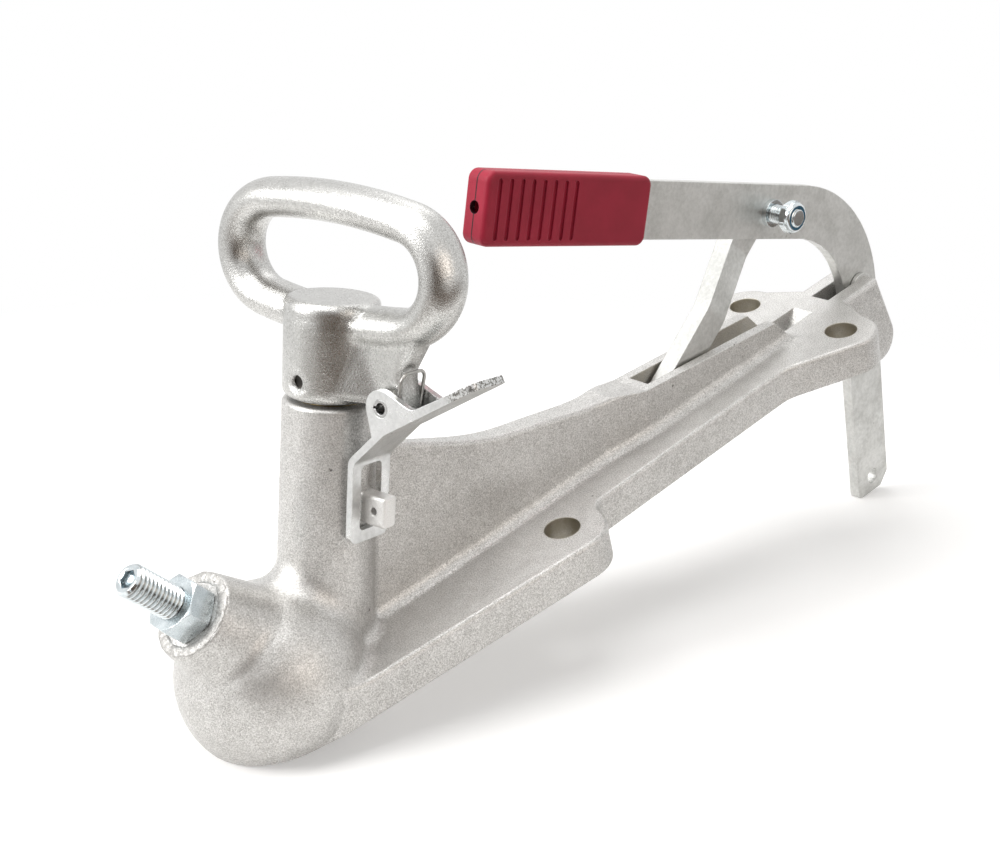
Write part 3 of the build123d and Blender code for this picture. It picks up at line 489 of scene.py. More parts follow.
@dataclass(frozen=True)
class SheetZinc(Finish):
    """Zinc over rolled steel: drawn lines, cloudy satin, faint scuffs and rubbed edges."""

    pale: Colour = (0.78, 0.785, 0.78, 1.0)
    dull: Colour = (0.56, 0.565, 0.555, 1.0)
    scuff: Colour = (0.24, 0.23, 0.215, 1.0)
    rubbed: Colour = (0.93, 0.935, 0.93, 1.0)
    metal: float = 0.90
    rough: float = 0.26
    rough_spread: float = 0.22
    drawn: Triple = (1.0, 1.0, 1.0)
    turn: Triple = (0.0, 0.0, 0.0)
    drawn_size: float = 0.5
    drawn_depth: float = 0.03
    drawn_ramp: Ramp = (0.2, 0.8)
    drawn_relief: float = 0.8
    cloud: float = 16.0
    cloud_share: float = 0.6
    fleck: float = 1.6
    fleck_relief: float = 0.9
    tone_ramp: Ramp = (0.30, 0.70)
    scuff_spacing: float = 7.0
    scuff_radius: float = 0.8
    scuff_cells: float = 0.3
    scuff_share: float = 0.5
    scuff_ramp: Ramp = (0.42, 0.60)
    edge_radius: float = 0.5
    edge_rub: float = 0.75

    def paint(self, graph: Graph) -> None:
        """Fill the nodes of a plated sheet or bar.

        Args:
            graph: The empty node graph.
        """
        lines = graph.noise(self.drawn_size, 4.0, 0.7, graph.place(self.drawn, self.turn))
        cloud = graph.noise(self.cloud, 4.0, 0.62)
        fleck = graph.noise(self.fleck, 3.0, 0.6)
        cells = graph.spots(graph.where, self.scuff_spacing, self.scuff_radius, self.scuff_cells)
        scuffs = cells * self.scuff_share * fleck.between(*self.scuff_ramp)
        soft = graph.soft_normal(self.edge_radius)
        tone = cloud.between(*self.tone_ramp).blend(fleck.between(*self.tone_ramp), self.cloud_share)
        skin = graph.mix(tone, self.dull, self.pale)
        worn = graph.mix(graph.edges(soft) * self.edge_rub, skin, self.rubbed)
        aged = graph.mix(scuffs, worn, self.scuff)
        rough = self.rough_spread * (1 - tone) * lines.between(*self.drawn_ramp)
        height = lines * self.drawn_relief + fleck * self.fleck_relief
        graph.surface(
            {
                "Base Color": self.marked(graph, aged, fleck),
                "Metallic": self.metal,
                "Roughness": self.rough + rough,
                "Normal": graph.bump(height, self.drawn_depth, soft),
            }
        )


@dataclass(frozen=True)
class LatchZinc(SheetZinc):
    """Plated sheet whose sheared edge is torn near the tip of the tab."""

    torn: Colour = (0.19, 0.185, 0.17, 1.0)
    tab_middle: Triple = (65.6, -49.9, 88.8)
    tab_along: Triple = (0.3311, -0.8279, 0.4528)
    tab_across: Triple = (0.92532, 0.19081, -0.32767)
    tab_edge: float = -9.56
    corner_start: float = 17.41
    corner_radius: float = 4.0
    torn_start: float = 8.0
    torn_fade: float = 5.0
    torn_skin: float = 0.3
    torn_grain: float = 0.8
    torn_ramp: Ramp = (0.44, 0.58)

    def marked(self, graph: Graph, colour: Sock, patch: Sock) -> Sock:
        """Speckle the edge near the tab's tip.

        Depth below the edge is the corner's radius less the distance from the line of the corner's
        centre, which runs straight along the tab up to the corner and square across from it.

        Args:
            graph: The node graph.
            colour: Colour of the sheet.
            patch: Not used.

        Returns:
            The speckled colour.
        """
        along = graph.along(self.tab_middle, self.tab_along)
        across = graph.along(self.tab_middle, self.tab_across)
        ahead = (along - self.corner_start * MM).highest(0.0)
        aside = ((self.tab_edge + self.corner_radius) * MM - across).highest(0.0)
        depth = self.corner_radius * MM - (ahead * ahead + aside * aside).root()
        tip = along.between(self.torn_start * MM, (self.torn_start + self.torn_fade) * MM)
        rough = graph.noise(self.torn_grain, 2.0, 0.7)
        edge = depth.between(2.0 * self.torn_skin * MM, self.torn_skin * MM)
        return graph.mix(tip * edge * rough.between(*self.torn_ramp), colour, self.torn)


@dataclass(frozen=True)
class BrightSteel(Finish):
    """Smooth plated or ground metal with a faint tint and fine handling marks."""

    tone: Colour = (0.74, 0.79, 0.81, 1.0)
    tint: Colour = (0.60, 0.65, 0.67, 1.0)
    stain: Colour = (0.25, 0.22, 0.18, 1.0)
    rubbed: Colour = (0.88, 0.89, 0.90, 1.0)
    metal: float = 1.0
    rough: float = 0.10
    rough_spread: float = 0.10
    cloud: float = 5.0
    fine: float = 0.35
    relief: float = 0.012
    tint_ramp: Ramp = (0.35, 0.65)
    rough_ramp: Ramp = (0.3, 0.8)
    stained: float = 0.25
    stain_ramp: Ramp = (0.60, 0.72)
    stain_grain: Ramp = (0.40, 0.62)
    stain_rough: float = 0.4
    edge_radius: float = 0.35
    edge_rub: float = 0.6

    def paint(self, graph: Graph) -> None:
        """Fill the nodes of a bright fastener.

        Args:
            graph: The empty node graph.
        """
        cloud = graph.noise(self.cloud, 4.0, 0.6)
        fine = graph.noise(self.fine, 3.0, 0.6)
        soft = graph.soft_normal(self.edge_radius)
        skin = graph.mix(cloud.between(*self.tint_ramp), self.tint, self.tone)
        dirt = cloud.between(*self.stain_ramp) * fine.between(*self.stain_grain) * self.stained
        stained = graph.mix(dirt, skin, self.stain)
        worn = graph.mix(graph.edges(soft) * self.edge_rub, stained, self.rubbed)
        rough = self.rough + self.rough_spread * fine.between(*self.rough_ramp)
        graph.surface(
            {
                "Base Color": self.marked(graph, worn, fine),
                "Metallic": self.metal,
                "Roughness": rough + dirt * self.stain_rough,
                "Normal": graph.bump(fine + cloud, self.relief, soft),
            }
        )


@dataclass(frozen=True)
class ThreadSteel(BrightSteel):
    """Plated thread with painted shade in its grooves."""

    # Painted shade between the crests, patchy
    groove_shade: Colour = (0.36, 0.355, 0.335, 1.0)
    foot: Triple = (0.0, 0.0, 0.0)
    way: Triple = (0.0, 1.0, 0.0)
    crest: float = 6.0
    crest_skin: float = 0.12
    root: float = 5.0
    core_gap: float = 0.6
    core_fade: float = 0.4
    end: float = 100.0
    end_fade: float = 0.4
    least: float = 0.7

    def marked(self, graph: Graph, colour: Sock, patch: Sock) -> Sock:
        """Paint shade on what lies below the crests, short of the screw's end.

        Args:
            graph: The node graph.
            colour: Colour of the plating.
            patch: Fine noise.

        Returns:
            The darkened colour.
        """
        radius = graph.around(self.foot, self.way)
        along = graph.along(self.foot, self.way)
        low = radius.between((self.crest - self.crest_skin) * MM, self.root * MM)
        side = along.between(self.end * MM, (self.end - self.end_fade) * MM)
        core = (self.root - self.core_gap) * MM
        outside = radius.between(core - self.core_fade * MM, core)
        patchy = self.least + (1.0 - self.least) * patch
        # painted shade in the grooves
        return graph.mix(low * side * outside * patchy, colour, self.groove_shade)


@dataclass(frozen=True)
class MouldedPlastic(Finish):
    """Moulded plastic with a fine spark texture and slightly polished edges."""

    tone: Colour = (0.40, 0.014, 0.042, 1.0)
    deep: Colour = (0.34, 0.011, 0.034, 1.0)
    rubbed: Colour = (0.62, 0.06, 0.13, 1.0)
    rough: float = 0.46
    rough_spread: float = 0.14
    specular: float = 0.4
    texture: float = 0.32
    texture_depth: float = 0.03
    cloud: float = 14.0
    cloud_ramp: Ramp = (0.3, 0.7)
    edge_radius: float = 0.5
    edge_rub: float = 0.45
    edge_polish: float = 0.1

    def paint(self, graph: Graph) -> None:
        """Fill the nodes of a moulded plastic.

        Args:
            graph: The empty node graph.
        """
        spark = graph.noise(self.texture, 2.0)
        cloud = graph.noise(self.cloud, 3.0)
        soft = graph.soft_normal(self.edge_radius)
        edge = graph.edges(soft)
        skin = graph.mix(cloud.between(*self.cloud_ramp), self.deep, self.tone)
        worn = graph.mix(edge * self.edge_rub, skin, self.rubbed)
        graph.surface(
            {
                "Base Color": self.marked(graph, worn, cloud),
                "Roughness": (self.rough + self.rough_spread * spark) - edge * self.edge_polish,
                "Specular IOR Level": self.specular,
                "Normal": graph.bump(spark, self.texture_depth, soft),
            }
        )


@dataclass(frozen=True)
class GripPlastic(MouldedPlastic):
    """Grip's plastic, dark in the seam between its halves and in the hole of its end."""

    shade: Colour = (0.035, 0.004, 0.008, 1.0)
    hole_foot: Triple = (132.53, 0.0, 123.03)
    hole_way: Triple = (-0.9157, 0.0, 0.4019)
    hole_radius: float = 2.42
    hole_fade: float = 0.13
    seam_half: float = 0.22
    seam_fade: float = 0.132

    def marked(self, graph: Graph, colour: Sock, patch: Sock) -> Sock:
        """Darken the seam and the hole.

        Args:
            graph: The node graph.
            colour: Colour of the plastic.
            patch: Not used.

        Returns:
            The darkened colour.
        """
        off = graph.axis("Y").size()
        seam = off.between((self.seam_half + self.seam_fade) * MM, self.seam_half * MM)
        radius = graph.around(self.hole_foot, self.hole_way)
        hole = radius.between((self.hole_radius + self.hole_fade) * MM, self.hole_radius * MM)
        return graph.mix(seam.highest(hole), colour, self.shade)


CAST = BodyZinc("finish_cast_body")
HANDLE_CAST = CastZinc(
    "finish_cast_handle",
    pale=(0.74, 0.735, 0.715, 1.0),
    dull=(0.34, 0.335, 0.32, 1.0),
    rubbed=(0.88, 0.88, 0.86, 1.0),
    metal=1.0,
    rough=0.20,
    grain=0.62,
    grain_depth=0.075,
    swell=8.0,
    swell_depth=0.10,
    pore_share=0.25,
    pore_radius=0.6,
    edge_radius=4.5,
)
RAW_LIP = CastZinc(
    "finish_cast_lip",
    pale=(0.66, 0.65, 0.63, 1.0),
    dull=(0.30, 0.29, 0.275, 1.0),
    rubbed=(0.70, 0.69, 0.67, 1.0),
    rough=0.45,
    pore_spacing=3.0,
    pore_radius=0.6,
    pore_share=0.45,
    edge_radius=0.3,
)
SHEET = LatchZinc("finish_sheet")
BAR = SheetZinc(
    "finish_bar",
    pale=(0.70, 0.70, 0.68, 1.0),
    dull=(0.47, 0.47, 0.45, 1.0),
    rubbed=(0.86, 0.86, 0.85, 1.0),
    rough=0.36,
    drawn=(0.06, 1.0, 1.0),
    turn=(0.0, 23.7, 0.0),
)
FASTENER = BrightSteel("finish_fastener")
NUT_PLATING = BrightSteel(
    "finish_nut", tone=(0.63, 0.68, 0.70, 1.0), tint=(0.50, 0.55, 0.57, 1.0), rough=0.24
)
SCREW_THREAD = ThreadSteel(
    "finish_screw_thread",
    foot=(4.35, 0.0, 2.85),
    way=(-0.54756, 0.0, 0.83676),
    root=5.1,
    end=74.0,
)
BOLT_THREAD = ThreadSteel(
    "finish_bolt_thread", foot=(285.5, 0.0, 55.5), way=(0.0, -1.0, 0.0), crest=4.0, root=3.4, end=17.3
)
STEEL = BrightSteel(
    "finish_steel", tone=(0.52, 0.52, 0.51, 1.0), tint=(0.42, 0.42, 0.41, 1.0), rough=0.30, stained=0.5
)
# Painted shade: the cross pin is made near black so that its end reads as a shaded hole
PIN_END_SHADE = BrightSteel(
    "finish_pin_end_shade",
    tone=(0.055, 0.052, 0.048, 1.0),
    tint=(0.035, 0.033, 0.030, 1.0),
    rubbed=(0.16, 0.155, 0.145, 1.0),
    rough=0.35,
)
SPRING_WIRE = BrightSteel(
    "finish_spring_wire",
    tone=(0.50, 0.49, 0.47, 1.0),
    tint=(0.36, 0.35, 0.33, 1.0),
    rough=0.28,
    stained=0.6,
)
BRASS = BrightSteel(
    "finish_brass",
    tone=(0.70, 0.52, 0.24, 1.0),
    tint=(0.60, 0.43, 0.19, 1.0),
    rubbed=(0.85, 0.68, 0.38, 1.0),
)
GRIP = GripPlastic("finish_grip")
NYLON = MouldedPlastic(
    "finish_nylon",
    tone=(0.022, 0.135, 0.23, 1.0),
    deep=(0.015, 0.095, 0.17, 1.0),
    rubbed=(0.10, 0.30, 0.42, 1.0),
    rough=0.38,
    edge_radius=0.2,
)


@dataclass(frozen=True)
class Axes:
    """A local frame: its origin in millimetres and two of its unit directions."""

    origin: Triple
    x: Triple
    z: Triple

    def place(self, points: np.ndarray) -> np.ndarray:
        """Carry points of the local frame to the part's frame.

        Args:
            points: Local points in millimetres, in the last axis.

        Returns:
            The points in metres.
        """
        x_dir = np.array(self.x)
        z_dir = np.array(self.z)
        basis = np.stack([x_dir, np.cross(z_dir, x_dir), z_dir])
        return (np.array(self.origin) + points @ basis) * MM


def leaning(angle: float, foot: Triple) -> Axes:
    """Axes at a foot, whose Z leans by an angle in degrees from the part's Z towards +X."""
    sine, cosine = math.sin(math.radians(angle)), math.cos(math.radians(angle))
    return Axes(foot, (cosine, 0.0, -sine), (sine, 0.0, cosine))


def linked(name: str, data: bpy.types.ID) -> bpy.types.Object:
    """Make an object and put it in the scene.

    Args:
        name: Name of the object.
        data: Its mesh, light or camera.

    Returns:
        The object.
    """
    made = bpy.data.objects.new(name, data)
    bpy.context.scene.collection.objects.link(made)
    return made


def closed_solid(name: str, points: np.ndarray, faces: list[np.ndarray], sharp: float) -> bpy.types.Object:
    """Make a closed mesh whose faces look outwards.

    Each face is cut into a fan of triangles. The sum of their triple products is six times the
    volume, and where it is negative every face is turned over.

    Args:
        name: Name of the object.
        points: Vertices in metres.
        faces: Blocks of faces, each as faces by corners.
        sharp: Angle in degrees above which an edge stays sharp.

    Returns:
        The new object.
    """
    fans = [block[:, [0, i, i + 1]] for block in faces for i in range(1, block.shape[1] - 1)]
    corner = points[np.concatenate(fans)]
    if np.einsum("ij,ij->", corner[:, 0], np.cross(corner[:, 1], corner[:, 2])) < 0:
        faces = [block[:, ::-1] for block in faces]
    mesh = bpy.data.meshes.new(name)
    mesh.from_pydata(points.tolist(), [], [face for block in faces for face in block.tolist()])
    mesh.polygons.foreach_set("use_smooth", np.ones(len(mesh.polygons), dtype=bool))
    mesh.set_sharp_from_angle(angle=math.radians(sharp))
    mesh.update()
    return linked(name, mesh)


def skin_rings(name: str, rings: np.ndarray, sharp: float = 32.0) -> bpy.types.Object:
    """Skin a stack of rings into one closed mesh.

    Vertex (i, j) is point j of ring i. Quads join neighbouring rings and wrap around in j, and
    the first and last rings are closed by fans on their mean points.

    Args:
        name: Name of the object.
        rings: Points in metres, as rings by points by three.
        sharp: Angle in degrees above which an edge stays sharp.

    Returns:
        The new object.
    """
    count, around = rings.shape[:2]
    points = np.concatenate([rings.reshape(-1, 3), rings[[0, -1]].mean(axis=1)])
    row = np.arange(count - 1)[:, None] * around
    here = np.arange(around)
    after = (here + 1) % around
    quads = np.stack([row + here, row + after, row + around + after, row + around + here], axis=-1)
    last = (count - 1) * around
    head = np.stack([after, here, np.full(around, count * around)], axis=-1)
    tail = np.stack([last + here, last + after, np.full(around, count * around + 1)], axis=-1)
    return closed_solid(name, points, [quads.reshape(-1, 4), head, tail], sharp)


def skin_loop(name: str, rings: np.ndarray, sharp: float = 180.0) -> bpy.types.Object:
    """Skin rings that follow a closed path into one ring-shaped mesh.

    Vertex (i, j) is point j of ring i, and both indices wrap around.

    Args:
        name: Name of the object.
        rings: Points in metres, as rings by points by three.
        sharp: Angle in degrees above which an edge stays sharp.

    Returns:
        The new object.
    """
    count, around = rings.shape[:2]
    row = np.arange(count)[:, None] * around
    below = np.roll(row, -1, axis=0)
    here = np.arange(around)
    after = (here + 1) % around
    quads = np.stack([row + here, below + here, below + after, row + after], axis=-1)
    return closed_solid(name, rings.reshape(-1, 3), [quads.reshape(-1, 4)], sharp)


def full_turn(count: int) -> np.ndarray:
    """Angles evenly spaced around a full turn, from 0."""
    return np.linspace(0.0, FULL_TURN, count, endpoint=False)


def circle_rings(radius: np.ndarray, height: np.ndarray, angle: np.ndarray) -> np.ndarray:
    """Points (r cos a, r sin a, z) of rings about Z, as rings by points by three."""
    flat = np.broadcast_to(height, radius.shape)
    return np.stack([radius * np.cos(angle), radius * np.sin(angle), flat], axis=-1)


def hexagon(flats: float, angle: np.ndarray) -> np.ndarray:
    """Polar radius of a hexagon: half its flats over the cosine of the angle from the nearest flat."""
    sixth = FULL_TURN / 6.0
    return flats / 2.0 / np.cos(np.mod(angle, sixth) - sixth / 2.0)


@dataclass(frozen=True)
class Thread:
    """A metric outside thread along Z."""

    diameter: float
    pitch: float
    depth_share: float = 0.58
    rows_per_pitch: int = 12
    root_flat: float = 0.12
    flank: float = 0.74

    def rings(self, start: float, end: float, angle: np.ndarray, chamfer: float) -> np.ndarray:
        """Rings of the threaded surface.

        The radius is a wave with flat roots and crests, of height over pitch less angle over a full
        turn, and it is held under a cone at the upper end.

        Args:
            start: Lower height.
            end: Upper height.
            angle: Angles around each ring.
            chamfer: Chamfer at the upper end.

        Returns:
            The rings in millimetres.
        """
        rows = int(round((end - start) / self.pitch * self.rows_per_pitch)) + 1
        height = np.linspace(start, end, rows)[:, None]
        phase = np.mod(height / self.pitch - angle / FULL_TURN, 1.0)
        wave = np.clip((1.0 - np.abs(2.0 * phase - 1.0) - self.root_flat) / self.flank, 0.0, 1.0)
        outer = self.diameter / 2.0
        radius = outer - self.depth_share * self.pitch * (1.0 - wave)
        cone = outer - chamfer + (end - height)
        return circle_rings(np.minimum(radius, cone), height, angle)


def coil_tube(axes: Axes, mean: float, wire: float, foot: float, top: float, turns: float) -> np.ndarray:
    """Rings of a compression spring's wire.

    The path climbs on a circle, slowly over its first and last turn and evenly between, and each
    ring is a circle in the plane of the path's outward and binormal directions.

    Args:
        axes: Frame with the spring along Z.
        mean: Radius of the coil.
        wire: Wire diameter.
        foot: Height of the wire's middle at the lower end.
        top: Height of the wire's middle at the upper end.
        turns: Number of turns with both end turns.

    Returns:
        The rings in metres.
    """
    turn = np.linspace(0.0, turns, int(turns * COIL_STEPS) + 1)
    pace = END_PACE + (1.0 - END_PACE) * np.clip(np.minimum(turn, turns - turn), 0.0, 1.0)
    climb = np.concatenate([[0.0], np.cumsum((pace[1:] + pace[:-1]) / 2.0)])
    height = foot + (top - foot) * climb / climb[-1]
    angle = FULL_TURN * turn
    out = circle_rings(np.ones_like(angle), np.zeros_like(angle), angle)
    path = circle_rings(np.full_like(angle, mean), height, angle)
    along = np.gradient(path, axis=0)
    along /= np.linalg.norm(along, axis=1, keepdims=True)
    side = np.cross(along, out)
    around = full_turn(WIRE_POINTS)[None, :, None]
    ring = np.cos(around) * out[:, None] + np.sin(around) * side[:, None]
    return axes.place(path[:, None] + ring * wire / 2.0)


def finish_piece(piece: bpy.types.Object, finish: Finish, body: Body, slot: str, *nodes: str) -> None:
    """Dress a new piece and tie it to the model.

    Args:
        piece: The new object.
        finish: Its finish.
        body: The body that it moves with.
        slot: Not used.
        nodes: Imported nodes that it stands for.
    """
    piece.data.materials.append(finish.material())
    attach(piece, body.value)
    if nodes:
        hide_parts(*nodes)
    LOG.info("made %s with %d faces", piece.name, len(piece.data.polygons))


def dress(finish: Finish, *nodes: str) -> None:
    """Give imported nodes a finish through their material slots.

    Args:
        finish: The finish.
        nodes: Names of the nodes.
    """
    for node in nodes:
        target = bpy.data.objects[node]
        for place in target.material_slots:
            place.material = finish.material()
        if not target.material_slots:
            target.data.materials.append(finish.material())
        LOG.info("dressed %s in %s", node, finish.name)


@dataclass
class Adjuster:
    """Adjusting screw in the dome's boss, with its locknut and shoe."""

    lean: float = -33.2
    offset: float = 5.2
    foot: float = 29.9
    tip: float = 74.6
    thread: Thread = Thread(12.0, 1.75)
    tip_chamfer: float = 1.2
    screw_points: int = 72
    socket_flats: float = 6.0
    socket_depth: float = 7.0
    socket_lead: float = 0.35
    socket_cone: float = 0.8
    socket_narrowing: float = 0.5
    boss_end: float = 44.2
    lip_radius: float = 13.35
    lip_half_width: float = 2.0
    lip_height: float = 0.62
    lip_sink: float = 0.15
    lip_points: int = 260
    lip_section: int = 18
    lip_seed: int = 7
    lip_lumps: float = 0.11
    lip_smoothing: float = 2.2
    lip_waves: tuple[Triple, ...] = ((0.5, 5.0, 0.4), (0.4, 13.0, 2.0))
    lip_wave_width: float = 0.14
    lip_wave_height: float = 0.30
    nut_flats: float = 19.0
    nut_height: float = 10.0
    nut_bore: float = 6.0
    nut_bevel: float = 0.8
    nut_bevel_rows: int = 6
    nut_bevel_slope: float = 2.0
    nut_face_inset: float = 0.1
    nut_turn: float = 30.0
    nut_points: int = 96
    nut_sharp: float = 12.0

    def axes(self) -> Axes:
        """Frame along the screw."""
        plain = leaning(self.lean, (0.0, 0.0, 0.0))
        return Axes(tuple(value * self.offset for value in plain.x), plain.x, plain.z)

    def screw(self) -> bpy.types.Object:
        """Make the threaded screw with its hexagon socket.

        Threaded rings climb to the tip, then the rings turn inwards over the end face to the
        socket's rim, go down its six walls and close on a shallow cone.

        Returns:
            The screw.
        """
        angle = full_turn(self.screw_points)
        hexagonal = hexagon(self.socket_flats, angle)
        climb = self.thread.rings(self.foot, self.tip, angle, self.tip_chamfer)
        lead = np.full_like(angle, self.socket_flats / math.sqrt(3.0) + self.socket_lead)
        floor = self.tip - self.socket_depth
        levels = [self.tip, self.tip - self.socket_lead, floor, floor - self.socket_cone]
        radius = np.stack([lead, hexagonal, hexagonal, hexagonal * self.socket_narrowing])
        inward = circle_rings(radius, np.array(levels)[:, None], angle)
        return skin_rings("adjuster_screw_thread", self.axes().place(np.concatenate([climb, inward])))

    def lip(self) -> bpy.types.Object:
        """Make the rough lip that the casting keeps around the nut's seat.

        An oval section is carried around the boss. Its width and height follow a sum of sines of
        the angle, each given by its share, its waves to a turn and its phase, and smoothed seeded
        noise over the surface adds lumps.

        Returns:
            The lip.
        """
        angle = full_turn(self.lip_points)[:, None]
        section = full_turn(self.lip_section)
        lumps = np.random.default_rng(self.lip_seed).normal(size=(angle.size, section.size))
        for side in (0, 1, 0, 1):
            lumps = (lumps + np.roll(lumps, 1, side) + np.roll(lumps, -1, side)) / self.lip_smoothing
        chips = sum(share * np.sin(waves * angle + phase) for share, waves, phase in self.lip_waves)
        rough = self.lip_lumps * lumps
        half_width = self.lip_half_width * (1.0 + self.lip_wave_width * chips) + rough
        half_height = self.lip_height * (1.0 + self.lip_wave_height * chips) + rough
        radius = self.lip_radius + half_width * np.cos(section)
        height = self.boss_end - self.lip_sink + half_height * np.sin(section)
        return skin_loop("boss_lip", self.axes().place(circle_rings(radius, height, angle)))

    def nut(self) -> bpy.types.Object:
        """Make the locknut.

        A section is carried around the screw. Its outer radius is a hexagon's, held under a cone
        at each end, which cuts the curved bevels, and its inner radius is the bore's.

        Returns:
            The nut.
        """
        angle = full_turn(self.nut_points)[:, None]
        six = hexagon(self.nut_flats, angle - math.radians(self.nut_turn))
        bevel = np.linspace(0.0, self.nut_bevel, self.nut_bevel_rows)
        level = np.concatenate([bevel, self.nut_height - bevel[::-1]])
        rise = self.nut_bevel_slope * np.minimum(level, self.nut_height - level)
        cone = self.nut_flats / 2.0 - self.nut_face_inset + rise
        outer = np.minimum(six, cone)
        inner = np.full((angle.size, 2), self.nut_bore)
        height = self.boss_end + np.concatenate([level, [self.nut_height, 0.0]])
        rings = circle_rings(np.concatenate([outer, inner], axis=1), height[None, :], angle)
        return skin_loop("adjuster_nut_bevelled", self.axes().place(rings), self.nut_sharp)

    def build(self) -> None:
        """Make and dress every piece of the adjuster."""
        finish_piece(self.screw(), SCREW_THREAD, Body.CASTING, "bolt_zinc", "adjuster_screw")
        finish_piece(self.lip(), RAW_LIP, Body.CASTING, "cast_zinc")
        finish_piece(self.nut(), NUT_PLATING, Body.CASTING, "bolt_zinc", "adjuster_locknut")
        dress(STEEL, "ball_shoe")


@dataclass
class Casting:
    """The cast body with the bush, spring and clamp that it holds."""

    tower_lean: float = 19.5
    tower_foot: float = 23.8
    spring_mean: float = 9.84
    spring_wire: float = 2.2
    spring_foot: float = 42.3
    spring_top: float = 80.1
    spring_turns: float = 8.0
    lift: float = 8.5

    def axes(self) -> Axes:
        """Frame along the tower."""
        return leaning(self.tower_lean, (self.tower_foot, 0.0, 0.0))

    def spring(self) -> bpy.types.Object:
        """Make the plunger's coil spring.

        Returns:
            The spring.
        """
        half = self.spring_wire / 2.0
        foot, top = self.spring_foot + half, self.spring_top - half
        rings = coil_tube(self.axes(), self.spring_mean, self.spring_wire, foot, top, self.spring_turns)
        return skin_rings("plunger_spring_coil", rings)

    def build(self) -> None:
        """Make and dress every piece of the casting."""
        dress(CAST, "coupling_body")
        dress(BRASS, "guide_bush")
        dress(STEEL, "ball_clamp")
        coil = self.spring()
        finish_piece(coil, SPRING_WIRE, Body.CASTING, "spring_steel", "plunger_spring")
        axes = self.axes()
        top = axes.place(np.array([0.0, 0.0, self.spring_top]))
        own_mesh(coil)


@dataclass
class LiftHandle:
    """Cast handle with the plunger and pins that move with it, and the latch on its ear."""

    def build(self) -> None:
        """Dress the handle's and the latch's nodes."""
        dress(HANDLE_CAST, "release_handle")
        dress(STEEL, "plunger", "latch_pin")
        # The cross pin gets painted shade, near black, so that its end reads as a shaded hole
        dress(PIN_END_SHADE, "handle_cross_pin")
        dress(SPRING_WIRE, "latch_spring")
        dress(SHEET, "latch")


@dataclass
class BrakeLever:
    """Brake lever with its grip and pivot."""

    def build(self) -> None:
        """Dress the lever's nodes."""
        dress(BAR, "brake_lever")
        dress(GRIP, "grip_near", "grip_far")
        dress(FASTENER, "pivot_bolt")
        dress(BAR, "pivot_spacer_near", "pivot_spacer_far")


@dataclass
class Stay:
    """Stay between the lever and the spine, with its bolt and locknut."""

    pivot: Triple = (285.5, 0.0, 55.5)
    drop: float = 33.5
    tip: float = -17.7
    head_seat: float = 11.2
    head_height: float = 5.3
    head_flats: float = 13.0
    head_chamfer: float = 0.7
    thread_end: float = -2.6
    thread: Thread = Thread(8.0, 1.25)
    tip_chamfer: float = 0.6
    bolt_points: int = 60
    face_inset: float = 0.3
    face_round: float = 0.75
    face_drop: float = 0.25
    nut_start: float = 12.2
    nut_hex_end: float = 15.0
    nut_end: float = 17.0
    nut_seat: float = 14.55
    nut_seat_radius: float = 5.22
    nut_points: int = 96
    nut_corner: float = 0.55
    nut_bevel: float = 0.35
    nut_rim: float = 0.25
    nut_dome_rows: int = 8
    nut_bore_gap: float = 0.05
    nut_sharp: float = 25.0

    def bolt(self) -> bpy.types.Object:
        """Make the stay's bolt, hexagon head to threaded tip.

        Rings run from the head's chamfered face over its six sides to the shank, and along the
        shank into the thread, whose rings are turned end for end.

        Returns:
            The bolt.
        """
        lean = math.radians(self.drop)
        axes = Axes(self.pivot, (-math.cos(lean), 0.0, -math.sin(lean)), (0.0, 1.0, 0.0))
        angle = full_turn(self.bolt_points)
        six = hexagon(self.head_flats, angle)
        disc = np.full_like(angle, self.head_flats / 2.0 - self.face_inset)
        shank = np.full_like(angle, self.thread.diameter / 2.0)
        top, seat = self.head_seat + self.head_height, self.head_seat
        levels = [top, top - self.face_drop, top - self.head_chamfer, seat, seat, self.thread_end]
        radius = np.stack([disc, np.minimum(six, disc + self.face_round), six, six, shank, shank])
        head = circle_rings(radius, np.array(levels)[:, None], angle)
        turned = self.thread.rings(-self.thread_end, -self.tip, -angle, self.tip_chamfer)
        turned = np.stack([turned[..., 0], -turned[..., 1], -turned[..., 2]], axis=-1)
        return skin_rings("stay_bolt_thread", axes.place(np.concatenate([head, turned])))

    def nut(self) -> bpy.types.Object:
        """Make the stay's thin locknut with its domed collar.

        A section is carried around the bolt: up the six sides, whose radius is a hexagon's, over
        the dome as a quarter ellipse, and back through the seat of the insert and the bore.

        Returns:
            The nut.
        """
        axes = Axes(self.pivot, (1.0, 0.0, 0.0), (0.0, -1.0, 0.0))
        angle = full_turn(self.nut_points)[:, None]
        six = hexagon(self.head_flats, angle)
        corner = self.head_flats / 2.0 + self.nut_corner
        sides = [np.minimum(six, limit) for limit in (corner - self.nut_bevel, corner, corner)]
        bend = np.linspace(0.0, math.pi / 2.0, self.nut_dome_rows)
        rim = self.nut_seat_radius + self.nut_rim
        dome = rim + (self.head_flats / 2.0 - rim) * np.cos(bend)
        rise = self.nut_hex_end + (self.nut_end - self.nut_hex_end) * np.sin(bend)
        bore = self.thread.diameter / 2.0 + self.nut_bore_gap
        inner = [self.nut_seat_radius, self.nut_seat_radius, bore, bore]
        levels = [self.nut_start, self.nut_start + self.nut_bevel, self.nut_hex_end, *rise]
        levels += [self.nut_end, self.nut_seat, self.nut_seat, self.nut_start]
        wall = [np.broadcast_to(value, angle.shape) for value in (*sides, *dome, *inner)]
        rings = circle_rings(np.concatenate(wall, axis=1), np.array(levels)[None, :], angle)
        return skin_loop("stay_nut_domed", axes.place(rings), self.nut_sharp)

    def build(self) -> None:
        """Make and dress every piece of the stay."""
        dress(BAR, "stay_strap")
        dress(FASTENER, "stay_bush")
        dress(NYLON, "locknut_insert")
        finish_piece(self.nut(), FASTENER, Body.LEVER, "bolt_zinc", "stay_locknut")
        finish_piece(self.bolt(), BOLT_THREAD, Body.LEVER, "bolt_zinc", "stay_bolt")


